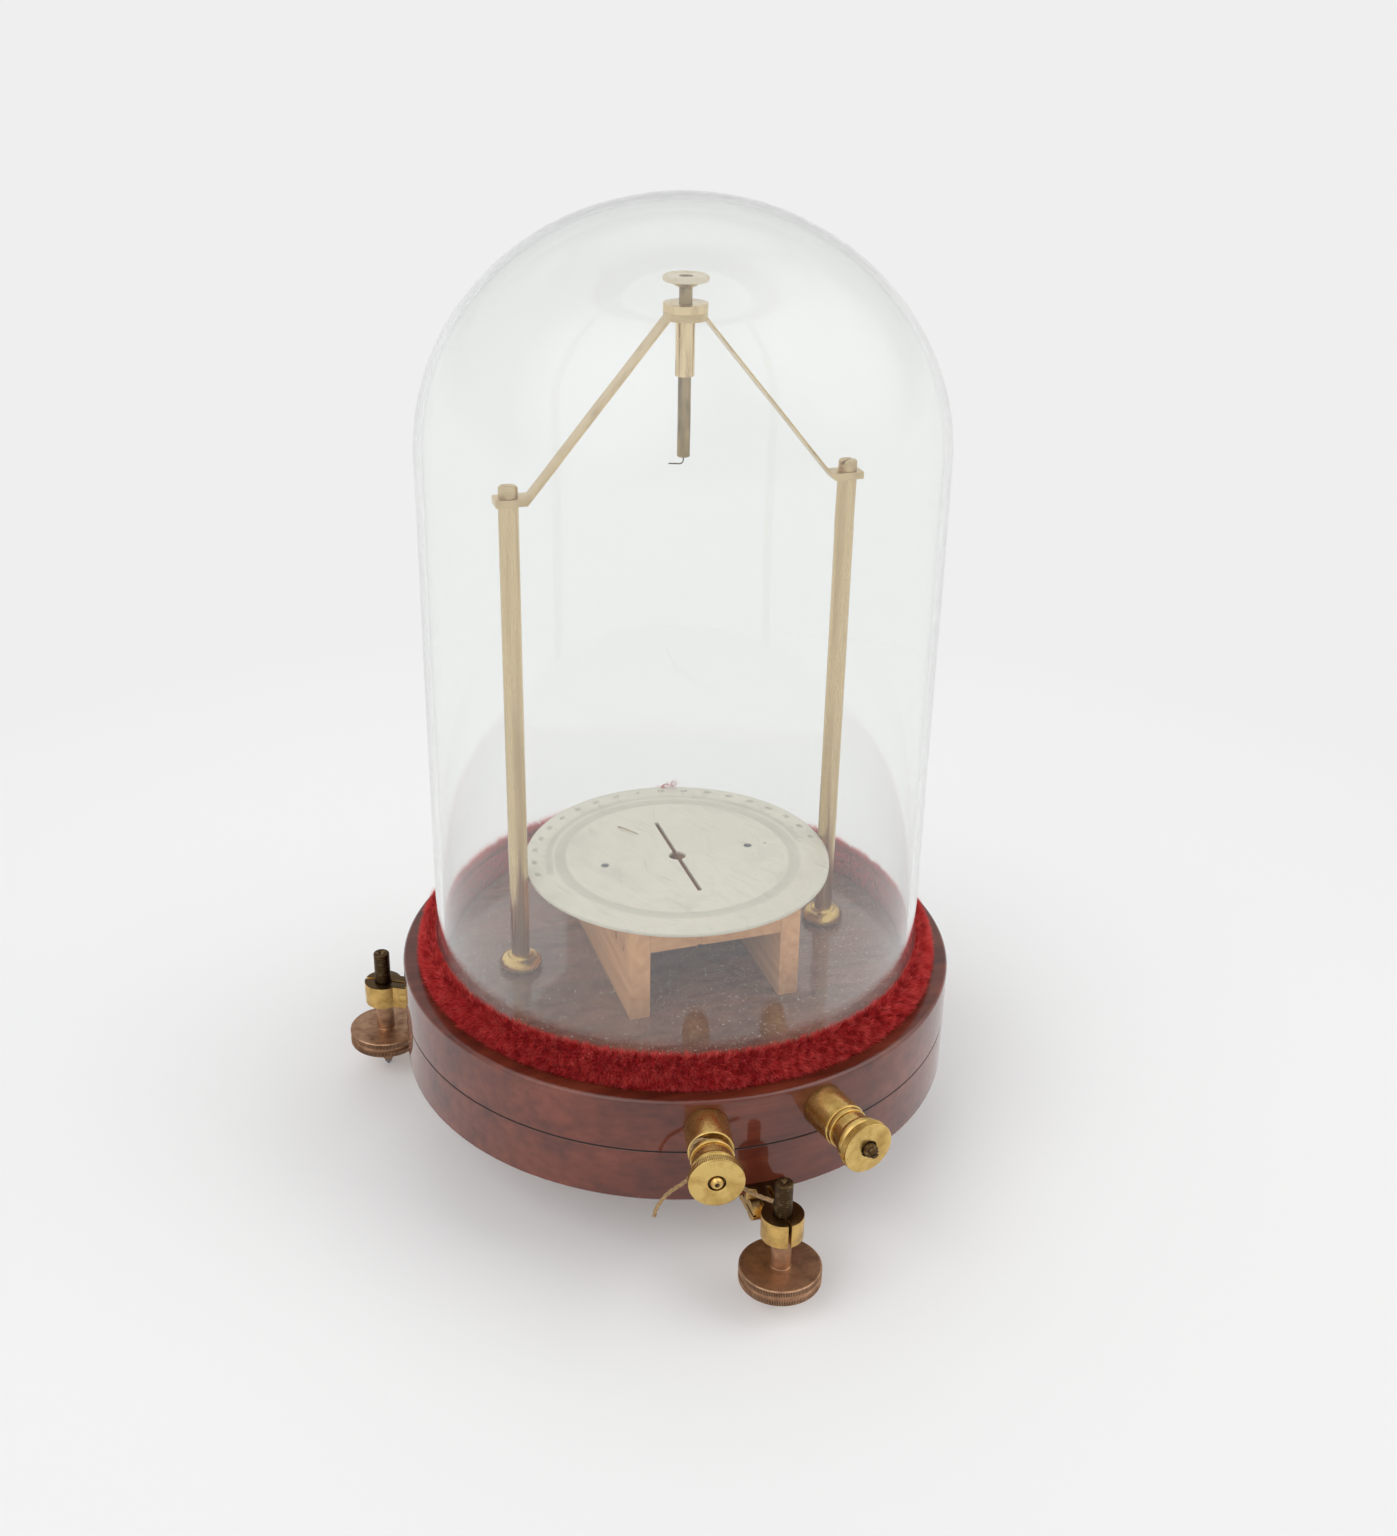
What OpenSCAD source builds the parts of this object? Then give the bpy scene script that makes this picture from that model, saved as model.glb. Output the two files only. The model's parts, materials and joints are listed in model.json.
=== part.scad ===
// Astatic galvanometer: a mahogany base on three levelling screws, a glass dome,
// a silvered dial on its coil bench, and a gallows that carries the suspension rod.
// Z = 0 is the table under the steel points, and the dome's axis is the Z axis.
// The front, with the two terminals, faces -Y.

/* [Base] */
// Width of the wooden rim outside the ring groove
rim_w = 5.5; // [4:0.1:20]
// Thickness of the upper disc
upper_t = 17.8; // [17:0.1:26]
// Thickness of the lower disc
lower_t = 18.6; // [15:0.1:26]
// Height of the base's underside above the table
base_clear = 30.2; // [25:0.1:40]
// Rounding of the top and bottom edges
base_round = 1.2; // [0.4:0.1:2]
// Chamfer of both discs at the seam
seam_chamfer = 0.35; // [0.1:0.05:0.8]
// Depth of the ring groove that the dome stands in
groove_depth = 4; // [2:0.5:6]
// Width of the ring groove outside the glass
groove_w = 5.9; // [4:0.1:9]

/* [Glass dome] */
// Outer diameter of the dome
dome_d = 157.2; // [130:0.2:200]
// Wall of the dome
dome_wall = 2.3; // [1.5:0.1:3]
// Height of the rounded crown
dome_crown = 73.1; // [55:0.1:90]
// Clear height between the knob and the crown
crown_room = 19.7; // [8:0.1:60]

/* [Plush ring] */
// How far the pile stands above the base
plush_rise = 11.5; // [6:0.5:14]
// How far the pile spreads over the rim of the groove
plush_over = 1; // [0:0.1:2]

/* [Dial and bench] */
// Diameter of the dial
dial_d = 99; // [82:0.5:119]
// Thickness of the dial
dial_t = 1; // [0.6:0.1:2]
// Length of the dial's slot
dial_slot_l = 47.5; // [30:0.5:60]
// Width of the dial's slot
dial_slot_w = 1.5; // [1:0.1:2.5]
// Centre hole of the dial
dial_hole_d = 5.6; // [4:0.1:8]
// Gap between the dial's edge and a pillar
dial_gap = 0.2; // [0.1:0.1:4]
// Head of a dial screw
dial_screw_d = 2.6; // [2:0.1:3.5]
// Height of the bench under the dial
bench_h = 31.7; // [24:0.1:40]
// Width of the bench over both side boards
bench_w = 55; // [44:0.5:64]
// Length of the bench from front to back
bench_l = 80.6; // [60:0.2:84]
// Thickness of a side board
bench_side_t = 6.3; // [5:0.1:9]
// Thickness of the top board
bench_top_t = 8.6; // [5:0.1:12]
// Diameter of the bench's wood screws
bench_screw_d = 3; // [2:0.1:4]
// Diameter of the coil's wire holes in the left side board
wire_hole_d = 3.4; // [2:0.1:4]
// Height of the wire holes above the base
wire_hole_z = 21.6; // [12:0.1:24]

/* [Gallows] */
// Diameter of a pillar
pillar_d = 6; // [5:0.1:8]
// Height of a pillar above the base
pillar_h = 155.5; // [110:0.5:200]
// Diameter of a pillar's turned foot
pillar_foot_d = 14; // [11:0.5:18]
// Height of a pillar's turned foot
pillar_foot_h = 5; // [3:0.1:8]
// Diameter of the threaded tail under a pillar
pillar_tail_d = 4; // [3:0.1:5]
// Width of the gallows strip
strip_w = 6.5; // [5:0.1:10]
// Thickness of the gallows strip
strip_t = 2.2; // [1.5:0.1:3]
// Length of a tab outside its pillar's axis
tab_out = 4.2; // [3.6:0.1:8]
// Length of a tab inside its pillar's axis
tab_in = 5.1; // [3.6:0.1:9]
// Height of the strip's eye above the pillar tops
head_rise = 50.5; // [35:0.5:65]
// Diameter of the strip's eye
eye_d = 12.8; // [11:0.1:16]
// Head of a pillar screw
pillar_screw_d = 5.8; // [4.5:0.1:7]
// Height of a pillar screw's head
pillar_screw_h = 3.3; // [2:0.1:4]

/* [Suspension] */
// Outer diameter of the bush's tube
bush_d = 5.6; // [5.2:0.1:8]
// Length of the bush's tube below the strip's eye
bush_drop = 16.2; // [8:0.2:24]
// Thickness of the bush's flange
bush_flange_t = 2.3; // [1.5:0.1:3.5]
// Diameter of the sliding rod
rod_d = 3.8; // [3:0.1:4.6]
// Length of rod that shows below the bush
rod_drop = 23.9; // [20:0.1:40]
// Gap between the bush's flange and the knob
knob_gap = 4.7; // [1:0.1:8]
// Diameter of the knob
knob_d = 13.2; // [10:0.1:18]
// Height of the knob
knob_h = 3.2; // [2.6:0.1:5]
// Thickness of the knob's rim
knob_rim = 2; // [1:0.1:2.4]
// Wire of the suspension hook
hook_wire = 0.4; // [0.3:0.05:0.8]
// Sideways reach of the hook
hook_reach = 4.4; // [3:0.1:6]

/* [Terminals] */
// Angle of a terminal from the front
term_angle = 11.8; // [10:0.1:20]
// Depth of the terminals' axes under the base top
term_drop = 8.9; // [8:0.1:9]
// Diameter of a terminal post
post_d = 13.6; // [9:0.1:15]
// Length of a terminal post outside the base
post_l = 11.4; // [8:0.1:18]
// Diameter of a stud
stud_d = 4.2; // [3:0.1:5]
// Pip at the end of a stud
pip_d = 2.8; // [2:0.1:2.9]
// Length of the pip
pip_l = 1.5; // [1:0.1:3]
// How far a stud reaches past its post
stud_reach = 15.3; // [14.8:0.1:20]
// Thickness of a pressure washer
washer_t = 1.6; // [1:0.1:2]
// Diameter of a pressure washer
washer_d = 13; // [9:0.1:14]
// Length of a thumb nut
nut_l = 10.5; // [8:0.1:10.6]
// Collar of a thumb nut
nut_collar_d = 12.4; // [9:0.1:13]
// Knurled flange of a thumb nut
nut_flange_d = 16.2; // [13:0.1:20]
// Opening at the left terminal, where a string is held
left_opening = 2.1; // [1.8:0.1:2.4]

/* [Levelling feet] */
// Distance of the levelling screws outside the base's edge
foot_out = 15; // [14:0.5:30]
// Diameter of a split boss
boss_d = 12.8; // [10:0.1:16]
// Height of a split boss
boss_h = 8; // [7:0.1:12]
// Thickness of the tang under the base
tang_t = 3.1; // [2:0.1:5]
// Length of the tang under the base
tang_l = 30; // [26:1:40]
// Width of the tang
tang_w = 13; // [11:0.1:20]
// Width of a bracket's arm
arm_w = 8; // [7:0.1:10]
// Diameter of the threaded spindle
spindle_d = 5.5; // [4:0.1:5.8]
// Diameter of the plain collar under the thread
collar_d = 6.2; // [6:0.1:7.5]
// Diameter of the knurled disc
disc_d = 25; // [18:0.5:30]
// Thickness of the knurled disc
disc_t = 5.5; // [4:0.1:8]
// Height of the spindle's top above the table
spindle_top = 46.4; // [42:0.1:50]
// Height of the disc's underside above the table
disc_low = 10.6; // [8:0.1:13]
// Diameter of the steel point
point_d = 2.4; // [1.6:0.1:3]
// Diameter of a pinch screw
pinch_d = 3; // [2:0.1:3.5]
// Head of a pinch screw
pinch_head_d = 6.4; // [5:0.1:7]

/* [Clearances] */
// Radial clearance of a fixed piece in its seat
seat = 0.05; // [0.02:0.01:0.15]
// Radial clearance of a turning or sliding piece
run = 0.05; // [0.02:0.01:0.1]
// Gap between the glass and the inner wall of its groove
glass_gap = 0.4; // [0.3:0.1:1]
// Gap between the pile and the glass or wood beside it
pile_gap = 0.3; // [0.2:0.05:0.6]

/* [Hidden] */
$fn = 64;
over = 1;                       // how far a cut runs past its face
FEET = ["front", "right", "left"];
FOOT_AZ = [-90, 30, 150];
SIDES = ["left", "right"];
SIDE_X = [-1, 1];

z_seam = base_clear + lower_t;
z_floor = z_seam + upper_t;
z_groove = z_floor - groove_depth;
dome_r = dome_d / 2;
dome_bore_r = dome_r - dome_wall;
groove_in_r = dome_bore_r - glass_gap;
groove_r = dome_r + groove_w;
base_r = groove_r + rim_w;
base_d = 2 * base_r;
crown_steps = 24;
plush_crest = 1.6;              // how far the pile's crest lies outside its inner wall

z_bench = z_floor + bench_h;
z_dial = z_bench + dial_t;
board_x = bench_w / 2 - bench_side_t / 2;
bench_inner = bench_w / 2 - bench_side_t;
dial_screw_l = 9;
dial_screw_slot = [0.4, 0.5];   // width and depth of the slot in a dial screw
dial_pin_d = 1;                 // pin hole beside the right dial screw
dial_pin_off = 6;
bench_mouth = 1.5;              // how much wider than the dial's the bench's openings are
bench_screw_l = 26;
bench_screw_y = bench_l / 2 - 12;
wire_hole_in = [8.6, 16.5];     // distances of the wire holes behind the bench's front
notch_w = 1.5;                  // mark cut in the front edge of the top board
notch_deep = 0.5;
notch_x = -5.3;

pillar_x = dial_d / 2 + dial_gap + pillar_d / 2;
z_tab = z_floor + pillar_h;
z_eye = z_tab + head_rise;
z_flange = z_eye + strip_t;
z_bush_top = z_flange + bush_flange_t;
z_bush_low = z_eye - bush_drop;
z_rod_low = z_bush_low - rod_drop;
z_knob = z_bush_top + knob_gap;
z_knob_top = z_knob + knob_h;
bore_crown = dome_crown - dome_wall;
z_crown = z_knob_top + crown_room - bore_crown;
arm_low_x = pillar_x - tab_in;
arm_tuck = 0.9;                 // how far an arm's top corner lies inside the eye's edge
arm_top_x = eye_d / 2 - arm_tuck;
arm_angle = atan2(head_rise, arm_low_x - arm_top_x);
arm_miter = strip_t * tan(arm_angle / 2);
pillar_nut_d = 9;
pillar_nut_h = 3;
pillar_pocket = 6;
pillar_screw_shank = 3;
pillar_screw_l = 9;
pillar_screw_edge = 0.4;        // chamfer of a pillar screw's head
pillar_screw_slot = [0.8, 1.2]; // width and depth of its slot
pillar_screw_turn = 35;         // how far the slot is turned from the strip
pillar_foot_edge = 0.6;         // chamfer round a turned foot
pillar_foot_band = 1.2;         // straight band above that chamfer
pillar_foot_round = 2.6;        // rounding above the band
bush_slit = 0.6;
bush_slit_h = 5;
bush_proud = 0.1;               // how far the flange stands outside the eye
bush_pin_d = 0.9;               // pin hole through the flange
knob_web = 2.4;                 // how much wider than the rod the knob is at its underside
knob_dish = 0.5;                // depth of the dish in the knob's top
knob_dish_rim = 1;              // land round the dish
rod_low_in_knob = 0.7;          // how far the rod's end lies below the knob's top
hook_hole = 2.5;
hook_drop = 1.1;
hook_bend = 1.2;
hook_az = 161;
hook_room = 0.3;                // gap between the wire's inner end and the end of its hole

z_term = z_floor - term_drop;
spot_depth = 0.8;
post_edge = 0.4;                // chamfer of a post's end
stud_in = 24;                   // length of a stud inside the base
face_gap = 0.05;
nut_flange_t = 3.2;
nut_bead_t = 3.4;
nut_bead = 0.7;                 // how far the bead stands out of the collar
nut_recess_d = stud_d + 1;
nut_recess = 0.8;
nut_edge = 0.4;                 // chamfer of a nut's flange
pip_slot = 0.7;
lead_d = 1.6;
lead_slot_w = 3;
lead_back_y = 25;
lead_hole_d = 2.6;
lead_tail = 2.2;                // length of lead in line with its stud
lead_r = base_r - stud_in - lead_tail;  // where a lead leaves its stud's axis
lead_x = lead_r * sin(term_angle);
lead_low = 0.5;                 // how far its end lies below the base's top
disc_screw_d = 4;
disc_screw_r = 60;
disc_screw_l = 28;

foot_r = base_r + foot_out;
z_boss = base_clear - tang_t;
z_disc_top = disc_low + disc_t;
collar_in = 2;                  // how far the collar reaches into the boss
collar_l = z_boss - z_disc_top + collar_in;
collar_pocket = 4;              // depth of the boss's counterbore round the collar
slit_w = 1;
slit_back = foot_out - 2.5;     // how far the slit runs behind the levelling screw
pinch_head_h = 3;
pinch_gap = 0.4;                // between a pinch screw's head and the boss or the arm's root
pinch_back = sqrt(pow(boss_d / 2, 2) - pow(arm_w / 2, 2)) + pinch_head_d / 2 + pinch_gap;
pinch_slot = [0.7, 0.9];        // width and depth of the slot in its head
arm_root = 1.5;                 // length of the arm's wide root outside the base
point_show = 2.4;
point_flat_d = 0.8;
point_seat = 4.4;               // length of the point inside its screw
point_room = 0.2;               // gap above the point in its hole
point_step = 0.3;               // shoulder between the point and its tang in the screw
cone_top_d = 10;                // cone under the disc, at the disc
cone_wall = 0.5;                // wall of the cone round the point
band_gap = 0.9;                 // groove between the disc's two knurled bands
band_deep = 0.8;
spindle_pop = [0.6, 2.2, 0.8];  // centre mark in the spindle's top: two diameters and a depth
tang_screw_d = 3.5;
tang_screw_l = 15;
tang_screw_in = [8, 22];        // places of a tang's screws behind the base's edge

string_d = 1.3;
string_r = base_r + post_l + left_opening / 2;
// Each tail of the string starts over the stud. A point is across, up and out.
STRING_LEFT = [[0, 4.6, 0], [-1.8, 5, 0], [-3.6, 5.2, 0], [-5, 4.3, 0], [-5.6, 2.4, 0],
    [-5.5, 0, 0], [-5.3, -2.6, 0], [-5.4, -5.2, 0], [-6, -7.4, 0], [-7.3, -9.2, 0],
    [-9.2, -10.6, 0.2], [-11.4, -12, 0.4], [-13.4, -14, 0.6], [-15, -16.4, 0.7],
    [-16, -18.7, 0.7], [-16.4, -20.8, 0.7]];
STRING_RIGHT = [[0, 4.6, 0], [1.8, 4.2, 0], [3.7, 3.6, 0], [5, 2.2, 0], [5.4, 0, 0],
    [5.2, -2.6, 0], [5.1, -5.2, 0], [5.6, -7.6, 0.2], [6.9, -9.6, 0.8], [8.9, -10.9, 2],
    [11.2, -11.7, 3.6], [13.8, -12.1, 5.2], [17.2, -12.4, 7.1]];

// Shapes that repeat

module tube(d, h) {
    cylinder(d = d, h = h);
}

module at_foot(i) {
    rotate([0, 0, FOOT_AZ[i]]) children();
}

// Turns a piece drawn along +X from the dome's axis out to a terminal
module at_terminal(i) {
    translate([0, 0, z_term]) rotate([0, 0, -90 + SIDE_X[i] * term_angle]) children();
}

module along_x(x, l, d) {
    translate([x, 0, 0]) rotate([0, 90, 0]) cylinder(d = d, h = l);
}

module cone_along_x(x, l, d1, d2) {
    translate([x, 0, 0]) rotate([0, 90, 0]) cylinder(d1 = d1, d2 = d2, h = l);
}

// A countersunk wood screw that points up, with its head's face at z = 0
module wood_screw(d, l) {
    difference() {
        union() {
            cylinder(d1 = 2 * d, d2 = d, h = d / 2);
            tube(d, l - d);
            translate([0, 0, l - d]) cylinder(d1 = d, d2 = d / 4, h = d);
        }
        translate([-d, -d / 10, -over]) cube([2 * d, d / 5, over + d / 5]);
    }
}

// The hole that such a screw fills
module wood_screw_hole(d, l) {
    translate([0, 0, -over]) cylinder(d1 = 2 * d + 2 * over + 2 * seat, d2 = 2 * d + 2 * seat, h = over);
    cylinder(d1 = 2 * d + 2 * seat, d2 = d + 2 * seat, h = d / 2);
    tube(d + 2 * seat, l + seat);
}

module disc_screw_places() {
    for (a = [45:90:315]) rotate([0, 0, a]) translate([disc_screw_r, 0, base_clear]) children();
}

module bench_screw_places() {
    for (x = [-board_x, board_x], y = [-bench_screw_y, bench_screw_y])
        translate([x, y, z_seam]) children();
}

module tang_screw_places() {
    for (i = [0:2], s = tang_screw_in) at_foot(i) translate([base_r - s, 0, z_boss]) children();
}

// Base

module turned_disc(z, h, low_edge, top_edge) {
    rotate_extrude() polygon([[0, z], [base_r - low_edge, z], [base_r, z + low_edge],
        [base_r, z + h - top_edge], [base_r - top_edge, z + h], [0, z + h]]);
}

module base_upper_disc() {
    color("#6e2b1a") difference() {
        union() {
            turned_disc(z_seam, upper_t - base_round, seam_chamfer, 0);
            translate([0, 0, z_floor - base_round]) tube(base_d - 2 * base_round, base_round);
            translate([0, 0, z_floor - base_round]) rotate_extrude()
                translate([base_r - base_round, 0]) circle(r = base_round);
        }
        translate([0, 0, z_groove]) difference() {
            tube(2 * groove_r, groove_depth + over);
            translate([0, 0, -over]) tube(2 * groove_in_r, groove_depth + 3 * over);
        }
        for (x = [-pillar_x, pillar_x]) translate([x, 0, z_seam - over]) {
            tube(pillar_tail_d + 2 * seat, upper_t + 2 * over);
            tube(pillar_nut_d + 2 * over, pillar_pocket + over);
        }
        bench_screw_places() wood_screw_hole(bench_screw_d, bench_screw_l);
        disc_screw_places() wood_screw_hole(disc_screw_d, disc_screw_l);
        for (i = [0:1]) at_terminal(i) {
            along_x(base_r - spot_depth, spot_depth + over, post_d + 2 * seat);
            along_x(base_r - stud_in - seat, stud_in + over, stud_d + 2 * seat);
        }
        for (x = [-lead_x, lead_x]) {
            translate([x - lead_slot_w / 2, -base_r + stud_in, z_seam - over])
                cube([lead_slot_w, base_r - stud_in + lead_back_y + lead_hole_d / 2,
                    z_term - z_seam + 2 * over]);
            translate([x, lead_back_y, z_seam]) tube(lead_hole_d, upper_t + over);
        }
    }
}

module base_lower_disc() {
    color("#6a2a1b") difference() {
        turned_disc(base_clear, lower_t, base_round, seam_chamfer);
        disc_screw_places() wood_screw_hole(disc_screw_d, disc_screw_l);
        tang_screw_places() wood_screw_hole(tang_screw_d, tang_screw_l);
    }
}

module base_screws() {
    color("#b8963e") disc_screw_places() wood_screw(disc_screw_d, disc_screw_l);
}

// The pile of the chenille ring, as one plain ring
module plush_ring() {
    in_r = dome_r + pile_gap;
    low_r = groove_r - pile_gap;
    high_r = groove_r + plush_over;
    crest_r = in_r + plush_crest;
    rise = plush_rise - pile_gap;
    color("#a3101c") rotate_extrude() polygon(concat(
        [[in_r, z_groove], [low_r, z_groove], [low_r, z_floor + pile_gap]],
        [for (a = [0:10:90]) [crest_r + (high_r - crest_r) * cos(a), z_floor + pile_gap + rise * sin(a)]],
        [[in_r, z_floor + plush_rise]]));
}

module glass_dome() {
    color("#dfe6e6", 0.3) rotate_extrude() polygon(concat(
        [[dome_bore_r, z_groove], [dome_r, z_groove]],
        [for (k = [0:crown_steps]) [dome_r * cos(90 * k / crown_steps),
            z_crown + dome_crown * sin(90 * k / crown_steps)]],
        [for (k = [crown_steps:-1:0]) [dome_bore_r * cos(90 * k / crown_steps),
            z_crown + bore_crown * sin(90 * k / crown_steps)]]));
}

// Dial and bench

module dial() {
    color("#d3d0c4") difference() {
        translate([0, 0, z_bench]) tube(dial_d, dial_t);
        translate([0, 0, z_bench - over]) tube(dial_hole_d, dial_t + 2 * over);
        translate([-dial_slot_w / 2, -dial_slot_l / 2, z_bench - over])
            cube([dial_slot_w, dial_slot_l, dial_t + 2 * over]);
        for (x = [-board_x, board_x])
            translate([x, 0, z_bench - over]) tube(dial_screw_d + 2 * seat, dial_t + 2 * over);
        translate([board_x + dial_pin_off, 0, z_bench - over]) tube(dial_pin_d, dial_t + 2 * over);
    }
}

module dial_screws() {
    color("#a88a3c") for (x = [-board_x, board_x]) translate([x, 0, z_dial]) difference() {
        union() {
            translate([0, 0, -dial_t]) tube(dial_screw_d, dial_t);
            translate([0, 0, -dial_screw_l]) tube(dial_screw_d / 2, dial_screw_l);
        }
        translate([-dial_screw_d, -dial_screw_slot[0] / 2, -dial_screw_slot[1]])
            cube([2 * dial_screw_d, dial_screw_slot[0], dial_screw_slot[1] + over]);
    }
}

module bench_board(i) {
    x = SIDE_X[i];
    color("#c99a6b") difference() {
        translate([x * board_x - bench_side_t / 2, -bench_l / 2, z_floor])
            cube([bench_side_t, bench_l, bench_h]);
        translate([x * board_x, 0, z_dial - dial_screw_l - seat])
            tube(dial_screw_d / 2 + 2 * seat, dial_screw_l);
        bench_screw_places() wood_screw_hole(bench_screw_d, bench_screw_l);
        if (x < 0) for (s = wire_hole_in) translate([0, s - bench_l / 2, z_floor + wire_hole_z])
            along_x(-bench_w / 2 - over, bench_side_t + 2 * over, wire_hole_d);
    }
}

module bench_top_board() {
    inner = bench_inner - seat;
    color("#c89868") difference() {
        translate([-inner, -bench_l / 2, z_bench - bench_top_t]) cube([2 * inner, bench_l, bench_top_t]);
        translate([0, 0, z_bench - bench_top_t - over])
            tube(dial_hole_d + 2 * bench_mouth, bench_top_t + 2 * over);
        translate([-dial_slot_w, -dial_slot_l / 2 - bench_mouth, z_bench - bench_top_t - over])
            cube([2 * dial_slot_w, dial_slot_l + 2 * bench_mouth, bench_top_t + 2 * over]);
        translate([notch_x - notch_w / 2, -bench_l / 2 - over, z_bench - bench_top_t - over])
            cube([notch_w, over + notch_deep, bench_top_t + 2 * over]);
    }
}

module bench_screws() {
    color("#b8963e") bench_screw_places() wood_screw(bench_screw_d, bench_screw_l);
}

// Gallows

module pillar(i) {
    tail = upper_t - pillar_pocket + pillar_nut_h + 1;
    color("#b59a5e") translate([SIDE_X[i] * pillar_x, 0, z_floor]) difference() {
        union() {
            tube(pillar_d, pillar_h);
            translate([0, 0, -tail]) tube(pillar_tail_d, tail);
        }
        translate([0, 0, pillar_h - pillar_screw_l])
            tube(pillar_screw_shank + 2 * seat, pillar_screw_l + over);
    }
}

module pillar_foot(i) {
    r = pillar_foot_d / 2;
    color("#c7a44c") translate([SIDE_X[i] * pillar_x, 0, z_floor]) difference() {
        rotate_extrude() polygon(concat(
            [[0, 0], [r - pillar_foot_edge, 0], [r, pillar_foot_edge], [r, pillar_foot_band]],
            [for (a = [15:15:75]) [r + pillar_foot_round * (cos(a) - 1),
                pillar_foot_band + (pillar_foot_h - pillar_foot_band) * sin(a)]],
            [[r - pillar_foot_round, pillar_foot_h], [0, pillar_foot_h]]));
        translate([0, 0, -over]) tube(pillar_d + 2 * seat, pillar_foot_h + 2 * over);
    }
}

// Six-sided nuts under the upper disc that pull the pillars down
module pillar_nuts() {
    color("#a98a45") for (x = [-pillar_x, pillar_x])
        translate([x, 0, z_seam + pillar_pocket - pillar_nut_h]) difference() {
            cylinder(d = pillar_nut_d, h = pillar_nut_h, $fn = 6);
            translate([0, 0, -over]) tube(pillar_tail_d + 2 * seat, pillar_nut_h + 2 * over);
        }
}

module gallows_strip() {
    low = [[pillar_x + tab_out, 0], [arm_low_x, 0], [arm_top_x, head_rise]];
    high = [[arm_top_x - arm_miter, head_rise + strip_t], [arm_low_x - arm_miter, strip_t],
        [pillar_x + tab_out, strip_t]];
    flip = [[-1, 0], [0, 1]];
    color("#bfa05a") difference() {
        union() {
            translate([0, strip_w / 2, z_tab]) rotate([90, 0, 0]) linear_extrude(strip_w)
                polygon(concat(low, [for (k = [2:-1:0]) low[k] * flip],
                    [for (k = [2:-1:0]) high[k] * flip], high));
            translate([0, 0, z_eye]) tube(eye_d, strip_t);
        }
        translate([0, 0, z_eye - over]) tube(bush_d + 2 * seat, strip_t + 2 * over);
        for (x = [-pillar_x, pillar_x]) translate([x, 0, z_tab - over])
            tube(pillar_screw_shank + 2 * seat, strip_t + 2 * over);
    }
}

module pillar_screw(i) {
    color("#b3924a") translate([SIDE_X[i] * pillar_x, 0, z_tab + strip_t]) difference() {
        union() {
            tube(pillar_screw_d, pillar_screw_h - pillar_screw_edge);
            translate([0, 0, pillar_screw_h - pillar_screw_edge]) cylinder(
                d1 = pillar_screw_d, d2 = pillar_screw_d - 2 * pillar_screw_edge, h = pillar_screw_edge);
            translate([0, 0, over - pillar_screw_l]) tube(pillar_screw_shank, pillar_screw_l);
        }
        rotate([0, 0, SIDE_X[i] * pillar_screw_turn])
            translate([-pillar_screw_d, -pillar_screw_slot[0] / 2, pillar_screw_h - pillar_screw_slot[1]])
                cube([2 * pillar_screw_d, pillar_screw_slot[0], pillar_screw_slot[1] + over]);
    }
}

// Suspension

module suspension_bush() {
    tube_l = z_flange - z_bush_low;
    color("#b5994f") difference() {
        union() {
            translate([0, 0, z_flange]) tube(eye_d + 2 * bush_proud, bush_flange_t);
            translate([0, 0, z_bush_low]) tube(bush_d, tube_l);
        }
        translate([0, 0, z_bush_low - over])
            tube(rod_d + 2 * run, tube_l + bush_flange_t + 2 * over);
        translate([-bush_d, -bush_slit / 2, z_bush_low - over])
            cube([2 * bush_d, bush_slit, bush_slit_h + over]);
        translate([-eye_d / 3, 0, z_flange - over]) tube(bush_pin_d, bush_flange_t + 2 * over);
    }
}

module suspension_rod() {
    color("#8d7a45") difference() {
        translate([0, 0, z_rod_low]) tube(rod_d, z_knob_top - rod_low_in_knob - z_rod_low);
        translate([0, 0, z_rod_low - over]) tube(hook_wire + 4 * run, hook_hole + over);
    }
}

module suspension_knob() {
    color("#c0a055") translate([0, 0, z_knob]) difference() {
        union() {
            cylinder(d1 = rod_d + knob_web, d2 = knob_d, h = knob_h - knob_rim);
            translate([0, 0, knob_h - knob_rim]) tube(knob_d, knob_rim);
        }
        translate([0, 0, -over]) tube(rod_d + 2 * run, knob_h + 2 * over);
        translate([0, 0, knob_h - knob_dish])
            cylinder(d1 = knob_d / 2, d2 = knob_d - 2 * knob_dish_rim, h = knob_dish + seat);
    }
}

// A fine wire hook: down out of the rod, round a bend and sideways
module suspension_hook() {
    z_bend = z_rod_low - hook_drop;
    color("#6b5a33") {
        translate([0, 0, z_bend]) tube(hook_wire, hook_drop + hook_hole - hook_room);
        rotate([0, 0, hook_az]) {
            translate([hook_bend, 0, z_bend]) rotate([90, 0, 0])
                rotate([0, 0, 180]) rotate_extrude(angle = 90)
                    translate([hook_bend, 0]) circle(d = hook_wire, $fn = 16);
            translate([0, 0, z_bend - hook_bend])
                along_x(hook_bend, hook_reach - hook_bend, hook_wire);
        }
    }
}

// Terminals

module terminal_post(i) {
    color("#c6a545") at_terminal(i) difference() {
        union() {
            along_x(base_r - spot_depth, spot_depth + post_l - post_edge, post_d);
            cone_along_x(base_r + post_l - post_edge, post_edge, post_d, post_d - 2 * post_edge);
        }
        along_x(base_r - spot_depth - over, post_l + spot_depth + 2 * over, stud_d + 2 * seat);
    }
}

module terminal_stud(i) {
    color("#8e7a3c") at_terminal(i) difference() {
        union() {
            along_x(base_r - stud_in, stud_in + post_l + stud_reach - pip_l, stud_d);
            along_x(base_r + post_l + stud_reach - pip_l - over, pip_l + over, pip_d);
        }
        translate([base_r + post_l + stud_reach - pip_l / 2, -stud_d, -pip_slot / 2])
            cube([pip_l, 2 * stud_d, pip_slot]);
    }
}

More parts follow.
